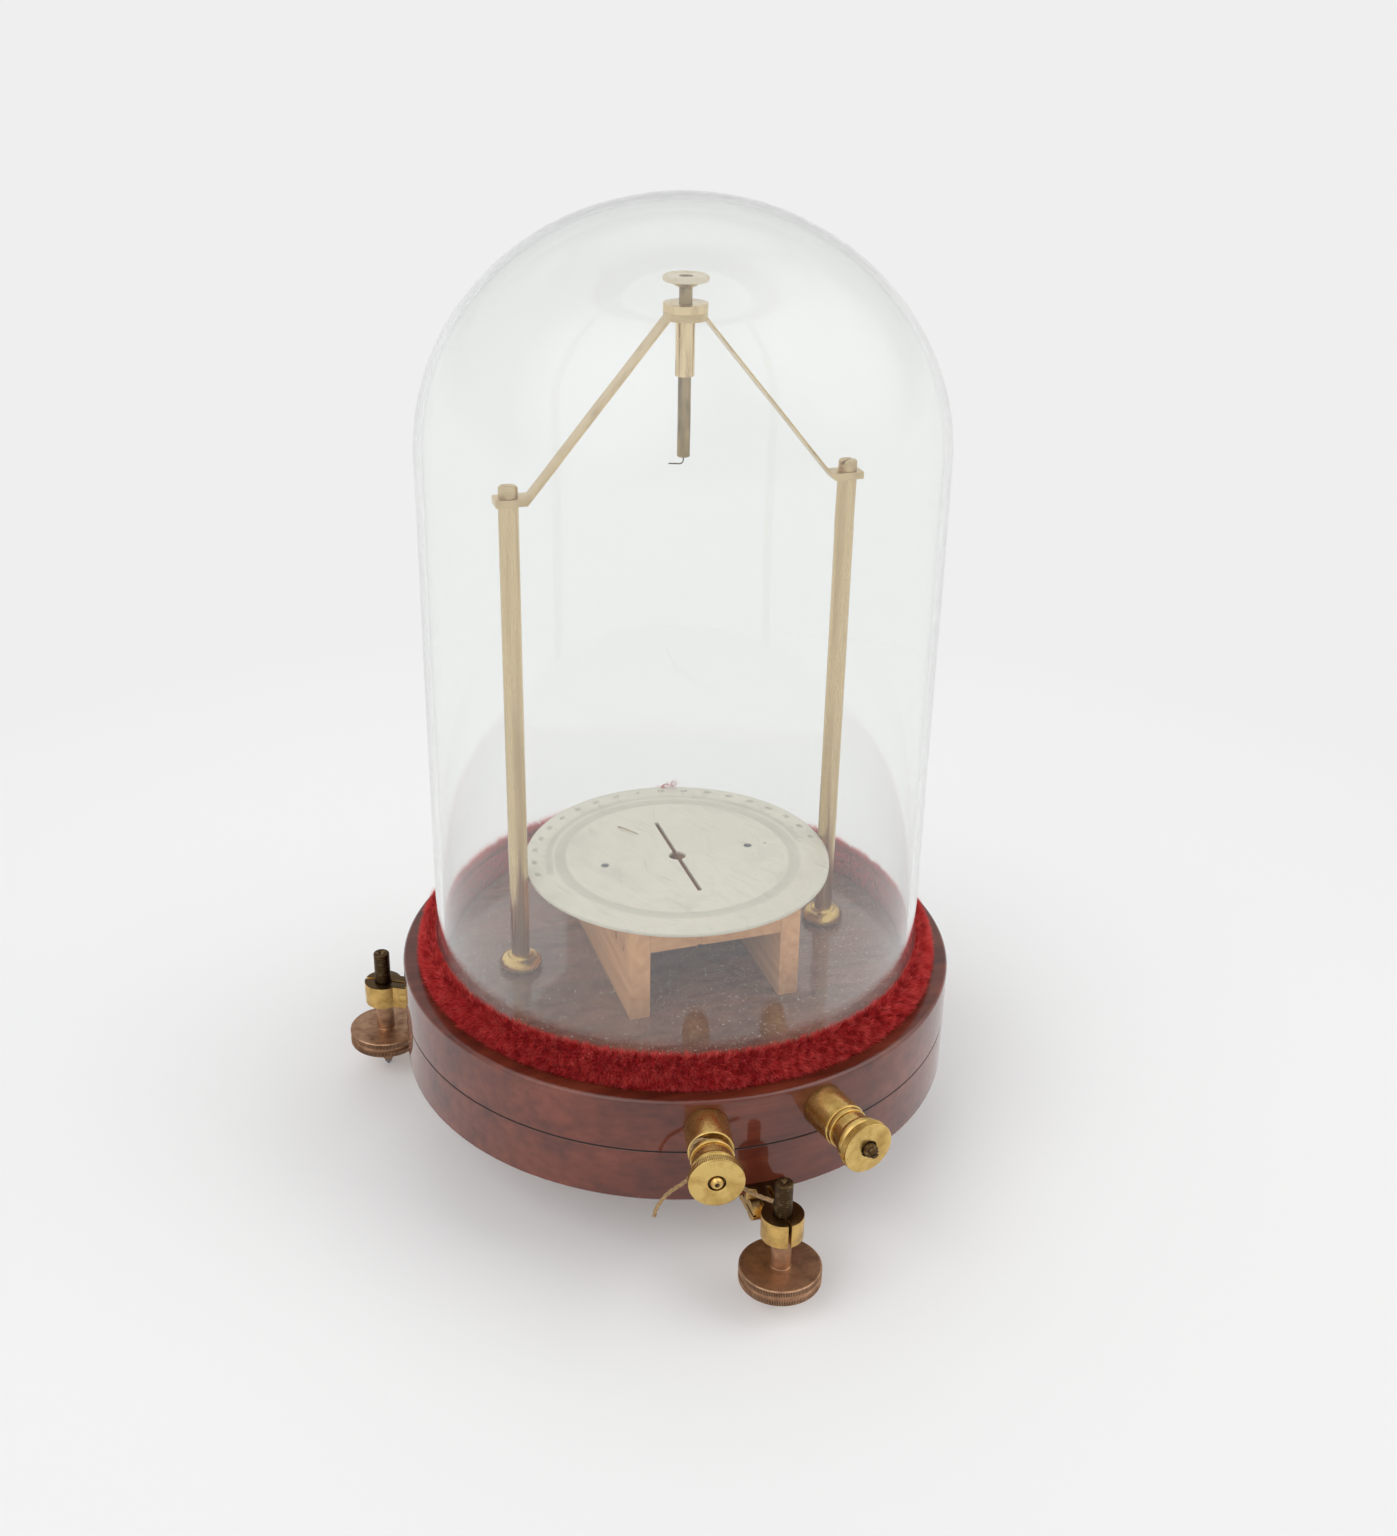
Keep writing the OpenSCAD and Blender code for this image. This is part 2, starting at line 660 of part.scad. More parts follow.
function opening(i) = i == 0 ? left_opening : face_gap;
function washer_x(i) = base_r + post_l + opening(i);
function nut_x(i) = washer_x(i) + washer_t + face_gap;

module terminal_washer(i) {
    color("#c2a042") at_terminal(i) difference() {
        along_x(washer_x(i), washer_t, washer_d);
        along_x(washer_x(i) - over, washer_t + 2 * over, stud_d + 4 * run);
    }
}

// A thumb nut turned in one piece: collar, rounded bead and flange
module terminal_nut(i) {
    bore_r = stud_d / 2 + run;
    collar_r = nut_collar_d / 2;
    flange_r = nut_flange_d / 2;
    bead_x = nut_l - nut_flange_t - nut_bead_t;
    flange_x = nut_l - nut_flange_t;
    color("#d0ae4a") at_terminal(i) translate([nut_x(i), 0, 0]) rotate([0, 90, 0])
        rotate_extrude() polygon(concat(
            [[bore_r, 0], [collar_r, 0]],
            [for (a = [0:20:180]) [collar_r + nut_bead * sin(a), bead_x + nut_bead_t * (1 - cos(a)) / 2]],
            [[flange_r - nut_edge, flange_x], [flange_r, flange_x + nut_edge],
             [flange_r, nut_l - nut_edge], [flange_r - nut_edge, nut_l], [nut_recess_d / 2, nut_l],
             [nut_recess_d / 2, nut_l - nut_recess], [bore_r, nut_l - nut_recess]]));
}

// Covered copper from a stud's inner end, back in its slot and up under the bench
module lead_wire(i) {
    x = SIDE_X[i] * lead_x;
    front_y = -lead_r * cos(term_angle) - lead_d / 4;
    color("#5d4a2c") {
        at_terminal(i) along_x(lead_r, lead_tail, lead_d);
        translate([x, front_y, z_term]) rotate([-90, 0, 0]) tube(lead_d, lead_back_y - front_y);
        translate([x, lead_back_y, z_term]) sphere(d = lead_d);
        translate([x, lead_back_y, z_term]) tube(lead_d, term_drop - lead_low);
    }
}

// A round string swept along its points, with one ring of eight corners at each
module string_tail(route) {
    az = -90 + SIDE_X[0] * term_angle;
    out = [cos(az), sin(az), 0];
    across = [-sin(az), cos(az), 0];
    pts = [for (p = route) across * p[0] + [0, 0, z_term + p[1]] + out * (string_r + p[2])];
    n = len(pts);
    function dir(k) = let (d = pts[min(k + 1, n - 1)] - pts[max(k - 1, 0)]) d / norm(d);
    function side(k) = let (s = cross(dir(k), out)) s / norm(s);
    color("#b79a6c") polyhedron(
        points = [for (k = [0:n - 1], c = [0:7]) pts[k] + string_d / 2
            * (side(k) * cos(45 * c) + cross(side(k), dir(k)) * sin(45 * c))],
        faces = concat([[for (c = [0:7]) c]],
            [for (k = [0:n - 2], c = [0:7]) each [
                [8 * k + c, 8 * k + 8 + c, 8 * k + (c + 1) % 8],
                [8 * k + (c + 1) % 8, 8 * k + 8 + c, 8 * k + 8 + (c + 1) % 8]]],
            [[for (c = [7:-1:0]) 8 * (n - 1) + c]]));
}

// Levelling feet

module foot_bracket(i) {
    wall_x = base_r - over;
    neck_x = foot_r - pinch_back - pinch_head_d / 2 - pinch_gap;
    color("#b3924a") at_foot(i) difference() {
        union() {
            translate([foot_r, 0, z_boss]) tube(boss_d, boss_h);
            translate([0, 0, z_boss]) linear_extrude(boss_h) polygon([
                [wall_x, -tang_w / 2], [base_r + arm_root, -tang_w / 2], [neck_x, -arm_w / 2],
                [foot_r, -arm_w / 2], [foot_r, arm_w / 2], [neck_x, arm_w / 2],
                [base_r + arm_root, tang_w / 2], [wall_x, tang_w / 2]]);
            translate([base_r - tang_l, -tang_w / 2, z_boss]) cube([tang_l, tang_w, tang_t]);
        }
        translate([0, 0, base_clear]) tube(base_d + 2 * seat, boss_h);
        translate([foot_r, 0, z_boss - over]) {
            tube(spindle_d + 2 * run, boss_h + 2 * over);
            tube(collar_d + 2 * run, collar_pocket + over);
        }
        translate([foot_r - slit_back, -slit_w / 2, z_boss - over])
            cube([slit_back + boss_d, slit_w, boss_h + 2 * over]);
        translate([foot_r - pinch_back, tang_w, z_boss + boss_h / 2]) rotate([90, 0, 0])
            tube(pinch_d + 2 * run, 2 * tang_w);
        for (s = tang_screw_in) translate([base_r - s, 0, z_boss])
            wood_screw_hole(tang_screw_d, tang_screw_l);
    }
}

module tang_screws() {
    color("#a98a45") tang_screw_places() wood_screw(tang_screw_d, tang_screw_l);
}

module levelling_screw(i) {
    band = (disc_t - band_gap) / 2;
    color("#9a6f4a") at_foot(i) translate([foot_r, 0, 0]) difference() {
        union() {
            translate([0, 0, point_show])
                cylinder(d1 = point_d + 2 * cone_wall, d2 = cone_top_d, h = disc_low - point_show);
            translate([0, 0, disc_low]) tube(disc_d, band);
            translate([0, 0, disc_low]) tube(disc_d - 2 * band_deep, disc_t);
            translate([0, 0, z_disc_top - band]) tube(disc_d, band);
            translate([0, 0, z_disc_top]) tube(collar_d, collar_l);
            translate([0, 0, z_disc_top]) tube(spindle_d, spindle_top - z_disc_top);
        }
        translate([0, 0, -over])
            tube(point_d - 2 * point_step + 2 * run, over + point_show + point_seat + point_room);
        translate([0, 0, spindle_top - spindle_pop[2]])
            cylinder(d1 = spindle_pop[0], d2 = spindle_pop[1], h = spindle_pop[2] + seat);
    }
}

module foot_point(i) {
    color("#8b8d8f") at_foot(i) translate([foot_r, 0, 0]) {
        cylinder(d1 = point_flat_d, d2 = point_d, h = point_show / 2);
        translate([0, 0, point_show / 2]) tube(point_d, point_show / 2 - face_gap);
        translate([0, 0, point_show / 2]) tube(point_d - 2 * point_step, point_show / 2 + point_seat);
    }
}

module pinch_screw(i) {
    half = arm_w / 2;
    color("#a98a45") at_foot(i) translate([foot_r - pinch_back, 0, z_boss + boss_h / 2])
        rotate([90, 0, 0]) difference() {
            union() {
                translate([0, 0, half + seat]) tube(pinch_head_d, pinch_head_h);
                translate([0, 0, -half]) tube(pinch_d, 2 * half + over);
            }
            translate([-pinch_head_d, -pinch_slot[0] / 2, half + pinch_head_h - pinch_slot[1]])
                cube([2 * pinch_head_d, pinch_slot[0], pinch_slot[1] + over]);
        }
}

base_upper_disc();
base_lower_disc();
base_screws();
plush_ring();
glass_dome();
dial();
dial_screws();
bench_top_board();
bench_screws();
pillar_nuts();
gallows_strip();
suspension_bush();
suspension_rod();
suspension_knob();
suspension_hook();
string_tail(STRING_LEFT);  // tie_string_left
string_tail(STRING_RIGHT);  // tie_string_right
tang_screws();
for (i = [0:1]) {
    bench_board(i);
    pillar(i);
    pillar_foot(i);
    pillar_screw(i);
    terminal_post(i);
    terminal_stud(i);
    terminal_washer(i);
    terminal_nut(i);
    lead_wire(i);
}
for (i = [0:2]) {
    foot_bracket(i);
    levelling_screw(i);
    foot_point(i);
    pinch_screw(i);
}
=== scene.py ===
import json
import math
import random
from functools import partial

import bmesh
import bpy
from bpy.props import FloatProperty, FloatVectorProperty, IntProperty, PointerProperty
from mathutils import Matrix, Vector, noise


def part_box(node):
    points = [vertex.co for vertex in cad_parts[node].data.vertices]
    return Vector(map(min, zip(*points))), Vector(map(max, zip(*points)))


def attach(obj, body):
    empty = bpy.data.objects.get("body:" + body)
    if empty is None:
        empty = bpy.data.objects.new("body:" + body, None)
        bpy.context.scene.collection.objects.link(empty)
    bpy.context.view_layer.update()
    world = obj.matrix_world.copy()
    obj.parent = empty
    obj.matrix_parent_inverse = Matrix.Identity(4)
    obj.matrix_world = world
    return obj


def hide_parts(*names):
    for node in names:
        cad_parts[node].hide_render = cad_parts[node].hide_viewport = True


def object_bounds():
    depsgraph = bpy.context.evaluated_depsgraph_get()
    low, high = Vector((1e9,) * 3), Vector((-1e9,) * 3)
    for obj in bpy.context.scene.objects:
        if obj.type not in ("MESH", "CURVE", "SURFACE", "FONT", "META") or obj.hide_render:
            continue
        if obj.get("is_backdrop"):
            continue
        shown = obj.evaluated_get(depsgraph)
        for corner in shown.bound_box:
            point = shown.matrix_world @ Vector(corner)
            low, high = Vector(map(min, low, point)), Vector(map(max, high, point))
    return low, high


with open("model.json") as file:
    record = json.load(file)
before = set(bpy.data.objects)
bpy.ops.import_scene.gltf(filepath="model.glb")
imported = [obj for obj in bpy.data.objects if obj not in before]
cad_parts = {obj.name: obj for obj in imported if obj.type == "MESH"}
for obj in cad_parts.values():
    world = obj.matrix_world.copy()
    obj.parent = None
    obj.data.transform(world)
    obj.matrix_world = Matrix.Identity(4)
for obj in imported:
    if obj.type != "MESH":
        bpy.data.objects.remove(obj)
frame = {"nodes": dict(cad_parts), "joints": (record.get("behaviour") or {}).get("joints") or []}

bl_info = {
    "name": "Astatic galvanometer",
    "version": (1, 0, 0),
    "blender": (4, 5, 0),
    "location": "3D View > Sidebar > Galvanometer",
    "description": "Gives the parts of an astatic galvanometer their wood, brass, glass and plush",
    "category": "Object",
}

MM = 0.001
METRES = Matrix.Scale(MM, 4)
SIDES = ("left", "right")
FEET = ("front", "right", "left")
JOINTS = {joint["name"]: joint for joint in frame["joints"]}


def corners(node):
    """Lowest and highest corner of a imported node, in millimetres."""
    low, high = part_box(node)
    return low / MM, high / MM


CAD_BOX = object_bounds()
base_low, base_high = corners("base_upper_disc")
seam_z, top_z, base_r = base_low.z, base_high.z, base_high.x
dome_low, dome_high = corners("glass_dome")
dome_r, groove_z, dome_top_z = dome_high.x, dome_low.z, dome_high.z
plush_low, plush_high = corners("plush_ring")
dial_high = corners("dial")[1]
dial_z, dial_r = dial_high.z, dial_high.x
pillar_low, pillar_high = corners("pillar_right")
pillar_x = (pillar_low.x + pillar_high.x) / 2
pillar_r = (pillar_high.x - pillar_low.x) / 2
post_low, post_high = corners("terminal_post_left")
term_z = (post_low.z + post_high.z) / 2

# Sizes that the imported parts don't tell, in millimetres
DOME_WALL = 2.3
CROWN_RISE = 73.1
THREAD_PITCH = 0.75
SEAM_CHAMFER, SEAM_FILL = 0.35, 0.06
# Angles between faces in degrees: an edge is rounded from the first, and stays sharp from the second
BEVEL_FROM, SHARP_FROM = 32, 50


# Colours and sizes that a user would change

def linear(code):
    """An sRGB hex colour as the linear numbers that Blender works with."""
    parts = [int(code[k:k + 2], 16) / 255 for k in (1, 3, 5)]
    return tuple(c / 12.92 if c <= 0.04045 else ((c + 0.055) / 1.055) ** 2.4 for c in parts)


def colour(name, description, code):
    return FloatVectorProperty(name=name, description=description, subtype="COLOR", size=3, min=0, max=1,
                               default=linear(code))


def length(name, description, millimetres):
    return FloatProperty(name=name, description=description, subtype="DISTANCE", unit="LENGTH", min=0,
                         precision=5, default=millimetres * MM)


class GalvanometerColours(bpy.types.PropertyGroup):
    """Colours of the finishes."""
    mahogany_dark: colour("Mahogany, dark grain", "Darkest grain of the base", "#481b10")
    mahogany: colour("Mahogany", "Ground colour of the base", "#61291a")
    mahogany_light: colour("Mahogany, light grain", "Lightest figure of the base", "#763825")
    # The seam's colour is painted shade, in the seam between the discs and in the nuts' recesses
    seam: colour("Seam", "Painted shade in the seam between the discs and in the nuts' recesses", "#140a07")
    fruitwood: colour("Fruitwood", "Ground colour of the coil bench", "#d9a476")
    fruitwood_dark: colour("Fruitwood, dark grain", "Grain of the coil bench", "#c28a5c")
    brass: colour("Polished brass", "Terminals and pillar feet", "#dcbb74")
    brass_dull: colour("Polished brass, dull", "Handled patches of the terminals", "#a67e3e")
    lacquer: colour("Lacquered brass", "Pillars and gallows", "#d6bd90")
    lacquer_dull: colour("Lacquered brass, dull", "Patches where the lacquer has gone", "#b0946a")
    boss: colour("Cast brass", "Brackets of the feet", "#dcb66f")
    boss_dull: colour("Cast brass, dull", "Handled patches of the brackets", "#a5814a")
    aged: colour("Aged brass", "Rod and small screws", "#a8926a")
    aged_dark: colour("Aged brass, dark", "Oxide on the aged brass", "#54412c")
    bronzed: colour("Bronzed brass", "Levelling screws", "#c19a7b")
    bronzed_dark: colour("Bronzed brass, dark", "Oxide on the levelling screws", "#8c6a54")
    silvering: colour("Silvering", "Face of the dial", "#e3dbcd")
    silvering_dull: colour("Silvering, dull", "Worn patches of the dial", "#bcb6a8")
    ink: colour("Engraving wax", "Marks and numbers of the dial", "#8a867c")
    crimson: colour("Plush", "Pile of the ring", "#d3222a")
    # The light plush colour is a painted highlight on the tips; the dark one is painted shade at the roots,
    # and the core's dark threads
    crimson_light: colour("Plush, light", "Painted highlight on the tips of the pile", "#f26a64")
    crimson_dark: colour("Plush, dark", "Painted shade at the roots of the pile, and dark threads of the core", "#7c0c12")
    string: colour("String", "String in the left terminal", "#a5855a")
    string_dark: colour("String, dark", "Between the plies of the string", "#523d27")
    backdrop: colour("Backdrop", "Floor of the studio", "#f8f8f8")


class GalvanometerSizes(bpy.types.PropertyGroup):
    """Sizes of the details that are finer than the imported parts."""
    edge: length("Wood edge", "Rounding of the bench's edges", 0.35)
    metal_edge: length("Metal edge", "Rounding of small brass edges", 0.18)
    fibre: length("Plush fibre", "Length of a fibre of the pile", 3.4)
    fibre_width: length("Fibre width", "Width of a fibre at its root", 0.16)
    clump: length("Tuft", "Distance between tufts of the pile", 1.5)
    fibres: IntProperty(name="Fibres", description="Fibres in an eighth of the ring", default=16800)
    nut_knurl: length("Nut knurl", "Spacing of the teeth of a thumb nut", 0.58)
    disc_knurl: length("Disc knurl", "Spacing of the teeth of a levelling disc", 0.5)
    number: length("Numbers", "Height of the dial's numbers", 1.9)
    tick: length("Ticks", "Width of the dial's ticks", 0.11)
    speck: length("Dust", "Size of the largest specks of dust", 0.4)
    specks: IntProperty(name="Specks", description="Specks of dust under the dome", default=7000)


# Node trees

# What the names of Blender's node types start with
FAMILIES = ("ShaderNode", "GeometryNode", "FunctionNode", "Node")


def add_node(tree, kind, *values, stops=(), **settings):
    """Adds a node of a kind, which is its type's name without the family, sets its settings, and sets or
    links its inputs. Values fill the sockets in use in order, and a dictionary among them names its
    sockets. A node as a value stands for its first output in use."""
    family = next(each for each in FAMILIES if hasattr(bpy.types, each + kind))
    made = tree.nodes.new(family + kind)
    for key, value in settings.items():
        setattr(made, key, value)
    for k, (place, tint) in enumerate(stops):
        points = made.color_ramp.elements
        point = points[k] if k < 2 else points.new(place)
        point.position = place
        point.color = (*tint, 1) if hasattr(tint, "__len__") else (tint, tint, tint, 1)
    free = [socket for socket in made.inputs if socket.enabled]
    wires = []
    for value in values:
        if isinstance(value, dict):
            wires += [(made.inputs[key], each) for key, each in value.items()]
        else:
            wires.append((free.pop(0), value))
    for socket, value in wires:
        if isinstance(value, bpy.types.Node):
            value = next(out for out in value.outputs if out.enabled)
        if isinstance(value, bpy.types.NodeSocket):
            tree.links.new(value, socket)
        else:
            socket.default_value = (*value, 1) if socket.type == "RGBA" and len(value) == 3 else value
    return made


def per(millimetres):
    """Texture scale for a feature of this size."""
    return 1 / (millimetres * MM)


def new_material(name):
    """A new material, and the function that adds its nodes."""
    made = bpy.data.materials.new(name)
    made.use_nodes = True
    made.node_tree.nodes.clear()
    return made, partial(add_node, made.node_tree)


def patches(add, spot, size, low=0.0, high=1.0, detail=4, turn=0, unit=MM):
    """Cloudy patches of a real size, three numbers in millimetres, turned by degrees about Z: 0 where the
    cloud is under low, and 1 where it is over high."""
    placed = add("Mapping", spot, {"Rotation": (0, 0, math.radians(turn)),
                                   "Scale": [each * unit for each in size]}, vector_type="TEXTURE")
    cloud = add("TexNoise", placed, {"Scale": 1.0, "Detail": detail, "Roughness": 0.55})
    return add("MapRange", cloud, low, high, 0.0, 1.0)


# Materials. Pattern sizes are real ones in millimetres

# How much of the wood under the dome is hidden by a film of fine dust
FLOOR_FILM = 0.16


def french_polished_mahogany(paint):
    """Close red-brown wood under deep shellac: smooth walls show the pale room over a quiet grain. Dust
    has settled on the part under the dome."""
    made, add = new_material("french polished mahogany")
    spot = add("TexCoord").outputs["Object"]
    grain = patches(add, spot, (70, 3.2, 3.2), 0.25, 0.75, detail=6)
    cloud = patches(add, spot, (26, 15, 15), 0.3, 0.7, detail=3)
    figure = add("Mix", 0.5, grain, cloud)
    wood = add("ValToRGB", figure, stops=(
        (0.15, paint.mahogany_dark), (0.5, paint.mahogany), (0.85, paint.mahogany_light)))
    pores = patches(add, spot, (4, 0.22, 0.22), 0.42, 0.34, detail=2)
    filled = add("Math", pores, 0.3, operation="MULTIPLY")
    tint = add("Mix", filled, wood, paint.mahogany_dark, data_type="RGBA")
    flat = add("VectorMath", spot, (1, 1, 0), operation="MULTIPLY")
    reach = add("VectorMath", flat, operation="LENGTH")
    under = add("MapRange", reach, (dome_r - 1) * MM, (dome_r - 5) * MM, 0.0, FLOOR_FILM)
    film = add("Math", under, patches(add, spot, (7, 3, 3), 0.2, 0.6, detail=7), operation="MULTIPLY")
    tint = add("Mix", film, tint, linear("#d1aa93"), data_type="RGBA")
    swell = add("Bump", {
        "Height": patches(add, spot, (12, 7, 7), detail=1), "Strength": 0.05, "Distance": 0.4 * MM})
    bump = add("Bump", {"Height": pores, "Strength": 0.05, "Distance": 0.05 * MM})
    add("OutputMaterial", add("BsdfPrincipled", {
        "Base Color": tint, "Roughness": 0.45, "IOR": 1.5, "Specular IOR Level": 0.15, "Coat Weight": 1.0,
        "Coat Roughness": 0.07, "Coat IOR": 1.54, "Normal": bump, "Coat Normal": swell}))
    return made


def waxed_fruitwood(paint):
    """Planed pale pearwood with a dull wax: pinkish tan, with faint straight grain."""
    made, add = new_material("waxed pearwood")
    spot = add("TexCoord").outputs["Object"]
    grain = patches(add, spot, (2.6, 45, 2.6), 0.3, 0.68, detail=5)
    fleck = patches(add, spot, (0.25, 3, 0.25), 0.45, 0.36, detail=2)
    wood = add("Mix", grain, paint.fruitwood_dark, paint.fruitwood, data_type="RGBA")
    faint = add("Math", fleck, 0.3, operation="MULTIPLY")
    tint = add("Mix", faint, wood, paint.fruitwood_dark, data_type="RGBA")
    bump = add("Bump", {"Height": fleck, "Strength": 0.15, "Distance": 0.05 * MM})
    add("OutputMaterial", add("BsdfPrincipled", {
        "Base Color": tint, "Roughness": 0.52, "IOR": 1.5, "Coat Weight": 0.15, "Coat Roughness": 0.35,
        "Normal": bump}))
    return made


# Tool marks: their size round the axis in turns and along it in millimetres
TURNED = (0.6, 0.09)
DRAWN = (0.012, 40)


def brass(name, bright, dull, dull_share, roughness, marks=None, patch=(5, 5, 5), top=None, groove=None):
    """Turned, drawn or filed brass. Its colour is patched where the lacquer has worn and the metal has
    browned, and its tool marks spread the highlight across them. top is the colour of painted shade on
    faces that look up, and groove the grime in cut teeth, by the piece's own attribute."""
    made, add = new_material(name)
    coordinates = add("TexCoord").outputs
    spot = coordinates["Object"]
    edge = 0.34 * dull_share
    share = patches(add, spot, patch, 0.55 - edge, 0.92 - edge, detail=4)
    tint = add("Mix", share, bright, dull, data_type="RGBA")
    if top is not None:
        # Painted shade on faces that look up, such as the brackets' tops under the base
        up = add("SeparateXYZ", add("NewGeometry").outputs["Normal"])
        worn = add("Math", share, 0.2, up.outputs["Z"], operation="MULTIPLY_ADD")
        covered = add("MapRange", worn, 0.62, 0.86, 0.0, 0.92)
        tint = add("Mix", covered, tint, top, data_type="RGBA")
    if groove is not None:
        cut = add("Attribute", attribute_name="groove").outputs["Fac"]
        dirty = add("MapRange", cut, 0.25, 0.9, 0.0, 1.0)
        tint = add("Mix", dirty, tint, groove, data_type="RGBA")
    if marks is None:
        lines = patches(add, spot, (0.5, 0.5, 0.5))
    else:
        lines = patches(add, coordinates["UV"], (*marks, 1), detail=3, unit=1)
    rough = add("MapRange", share, 0.0, 1.0, roughness, roughness + 0.14)
    bump = add("Bump", {"Height": lines, "Strength": 0.12, "Distance": 0.03 * MM})
    add("OutputMaterial", add("BsdfPrincipled", {
        "Base Color": tint, "Metallic": 1.0, "Roughness": rough, "Normal": bump}))
    return made


# Scratches of the dial: width, length, direction in degrees, and how much of the face they spare
SCRATCHES = ((0.10, 16, 28, 0.685), (0.12, 9, 34, 0.70), (0.10, 13, -12, 0.72), (0.14, 7, 75, 0.73))


def silvered_brass(paint):
    """Brass rubbed with silver chloride: a soft matt grey-white, with straight hairline scratches, dark
    specks and a turned band inside the degrees."""
    made, add = new_material("silvered brass")
    spot = add("TexCoord").outputs["Object"]
    flat = add("VectorMath", spot, (1, 1, 0), operation="MULTIPLY")
    reach = add("VectorMath", flat, operation="LENGTH")
    radius = add("Math", reach, dial_r * MM, operation="DIVIDE")
    band = add("ValToRGB", radius, stops=(
        (0.725, 0.0), (0.745, 0.55), (0.80, 0.4), (0.82, 0.0), (0.985, 0.0), (1.0, 0.3)))
    cloud = patches(add, spot, (16, 16, 16), 0.52, 1.1, detail=7)
    worn = add("Math", band, cloud, operation="MAXIMUM")
    tint = add("Mix", worn, paint.silvering, paint.silvering_dull, data_type="RGBA")
    marks = patches(add, spot, (0.8, 0.55, 0.8), 0.30, 0.26, detail=3)
    for width, run, turn, spared in SCRATCHES:
        scratch = patches(add, spot, (width, run, run), spared, spared + 0.03, detail=1, turn=turn)
        marks = add("Math", marks, scratch, operation="MAXIMUM")
    faint = add("Math", marks, 0.62, operation="MULTIPLY")
    tint = add("Mix", faint, tint, linear("#4f4b44"), data_type="RGBA")
    fine = patches(add, spot, (0.35, 0.35, 0.35))
    bump = add("Bump", {"Height": fine, "Strength": 0.08, "Distance": 0.03 * MM})
    add("OutputMaterial", add("BsdfPrincipled", {
        "Base Color": tint, "Metallic": 0.3, "Roughness": 0.5, "Normal": bump}))
    return made


def blown_glass():
    """Clear shade glass under a film of dust, which lays a pale veil over what it covers. Lamps reach
    through it, and its thick sides are faintly grey-green."""
    made, add = new_material("blown glass")
    rays = add("LightPath").outputs
    shader = add("BsdfPrincipled", {
        "Base Color": linear("#fdfefd"), "Roughness": 0.0, "IOR": 1.5, "Transmission Weight": 0.968})
    through = add("BsdfTransparent", linear("#fafcfb"))
    bounced = add("MixShader", rays["Is Diffuse Ray"], shader, through)
    mixed = add("MixShader", rays["Is Shadow Ray"], bounced, through)
    inside = add("VolumeAbsorption", linear("#e7ecea"), 16.0)
    add("OutputMaterial", mixed, inside)
    return made


def plush_pile(paint):
    """Dyed wool chenille, with painted shade at the roots and on darker tufts, and a painted highlight on
    the tips of brighter ones.
    """
    made, add = new_material("crimson chenille pile")
    along = add("Attribute", attribute_name="along").outputs["Fac"]
    shade = add("Attribute", attribute_name="shade").outputs["Fac"]
    spot = add("TexCoord").outputs["Object"]
    # Painted shade and highlight by tuft, from shaded fibres to bright tips
    shadowed = [0.35 * c for c in paint.crimson]
    tip = add("ValToRGB", shade, stops=((0.0, shadowed), (0.42, paint.crimson), (1.0, paint.crimson_light)))
    faded = add("Math", patches(add, spot, (9, 9, 9), 0.4, 0.8, detail=3), 0.3, operation="MULTIPLY")
    tip = add("Mix", faded, tip, paint.crimson_dark, data_type="RGBA")
    # Painted shade, darkest at the roots
    lit = add("MapRange", along, 0.05, 0.7, 0.0, 1.0)
    tint = add("Mix", lit, paint.crimson_dark, tip, data_type="RGBA")
    add("OutputMaterial", add("BsdfPrincipled", {
        "Base Color": tint, "Roughness": 0.75, "IOR": 1.45, "Specular IOR Level": 0.25,
        "Sheen Weight": 0.3, "Sheen Roughness": 0.5, "Sheen Tint": paint.crimson_light}))
    return made


def plain_cloth(name, light, dark, size):
    """Dull dyed fibre with its own fine mottle, of a size in millimetres."""
    made, add = new_material(name)
    spot = add("TexCoord").outputs["Object"]
    threads = patches(add, spot, (size, size, size), 0.36, 0.6, detail=5)
    tint = add("Mix", threads, dark, light, data_type="RGBA")
    bump = add("Bump", {"Height": threads, "Strength": 0.3, "Distance": 0.08 * MM})
    add("OutputMaterial", add("BsdfPrincipled", {
        "Base Color": tint, "Roughness": 0.85, "Sheen Weight": 0.1, "Normal": bump}))
    return made


def twisted_string(paint):
    """Tan hemp string: pale worn fibres on each ply, dark between them."""
    made, add = new_material("twisted hemp string")
    sheet = add("TexCoord").outputs["UV"]
    fibres = patches(add, sheet, (0.2, 1.4, 1), 0.3, 0.56, detail=5, unit=1)
    tint = add("Mix", fibres, paint.string_dark, paint.string, data_type="RGBA")
    bump = add("Bump", {"Height": fibres, "Strength": 0.4, "Distance": 0.08 * MM})
    add("OutputMaterial", add("BsdfPrincipled", {
        "Base Color": tint, "Roughness": 0.8, "Sheen Weight": 0.2, "Normal": bump}))
    return made


def dull_paint(name, tint, roughness):
    """A thin matt layer, for wax in engraving, painted shade in seams and recesses, and dust."""
    made, add = new_material(name)
    spot = add("TexCoord").outputs["Object"]
    grains = patches(add, spot, (0.8, 0.8, 0.8), detail=3)
    light = add("Math", grains, 0.5, operation="ADD")
    shade = add("HueSaturation", {"Value": light, "Color": tint})
    add("OutputMaterial", add("BsdfPrincipled", {"Base Color": shade, "Roughness": roughness}))
    return made


FINISHES = {}


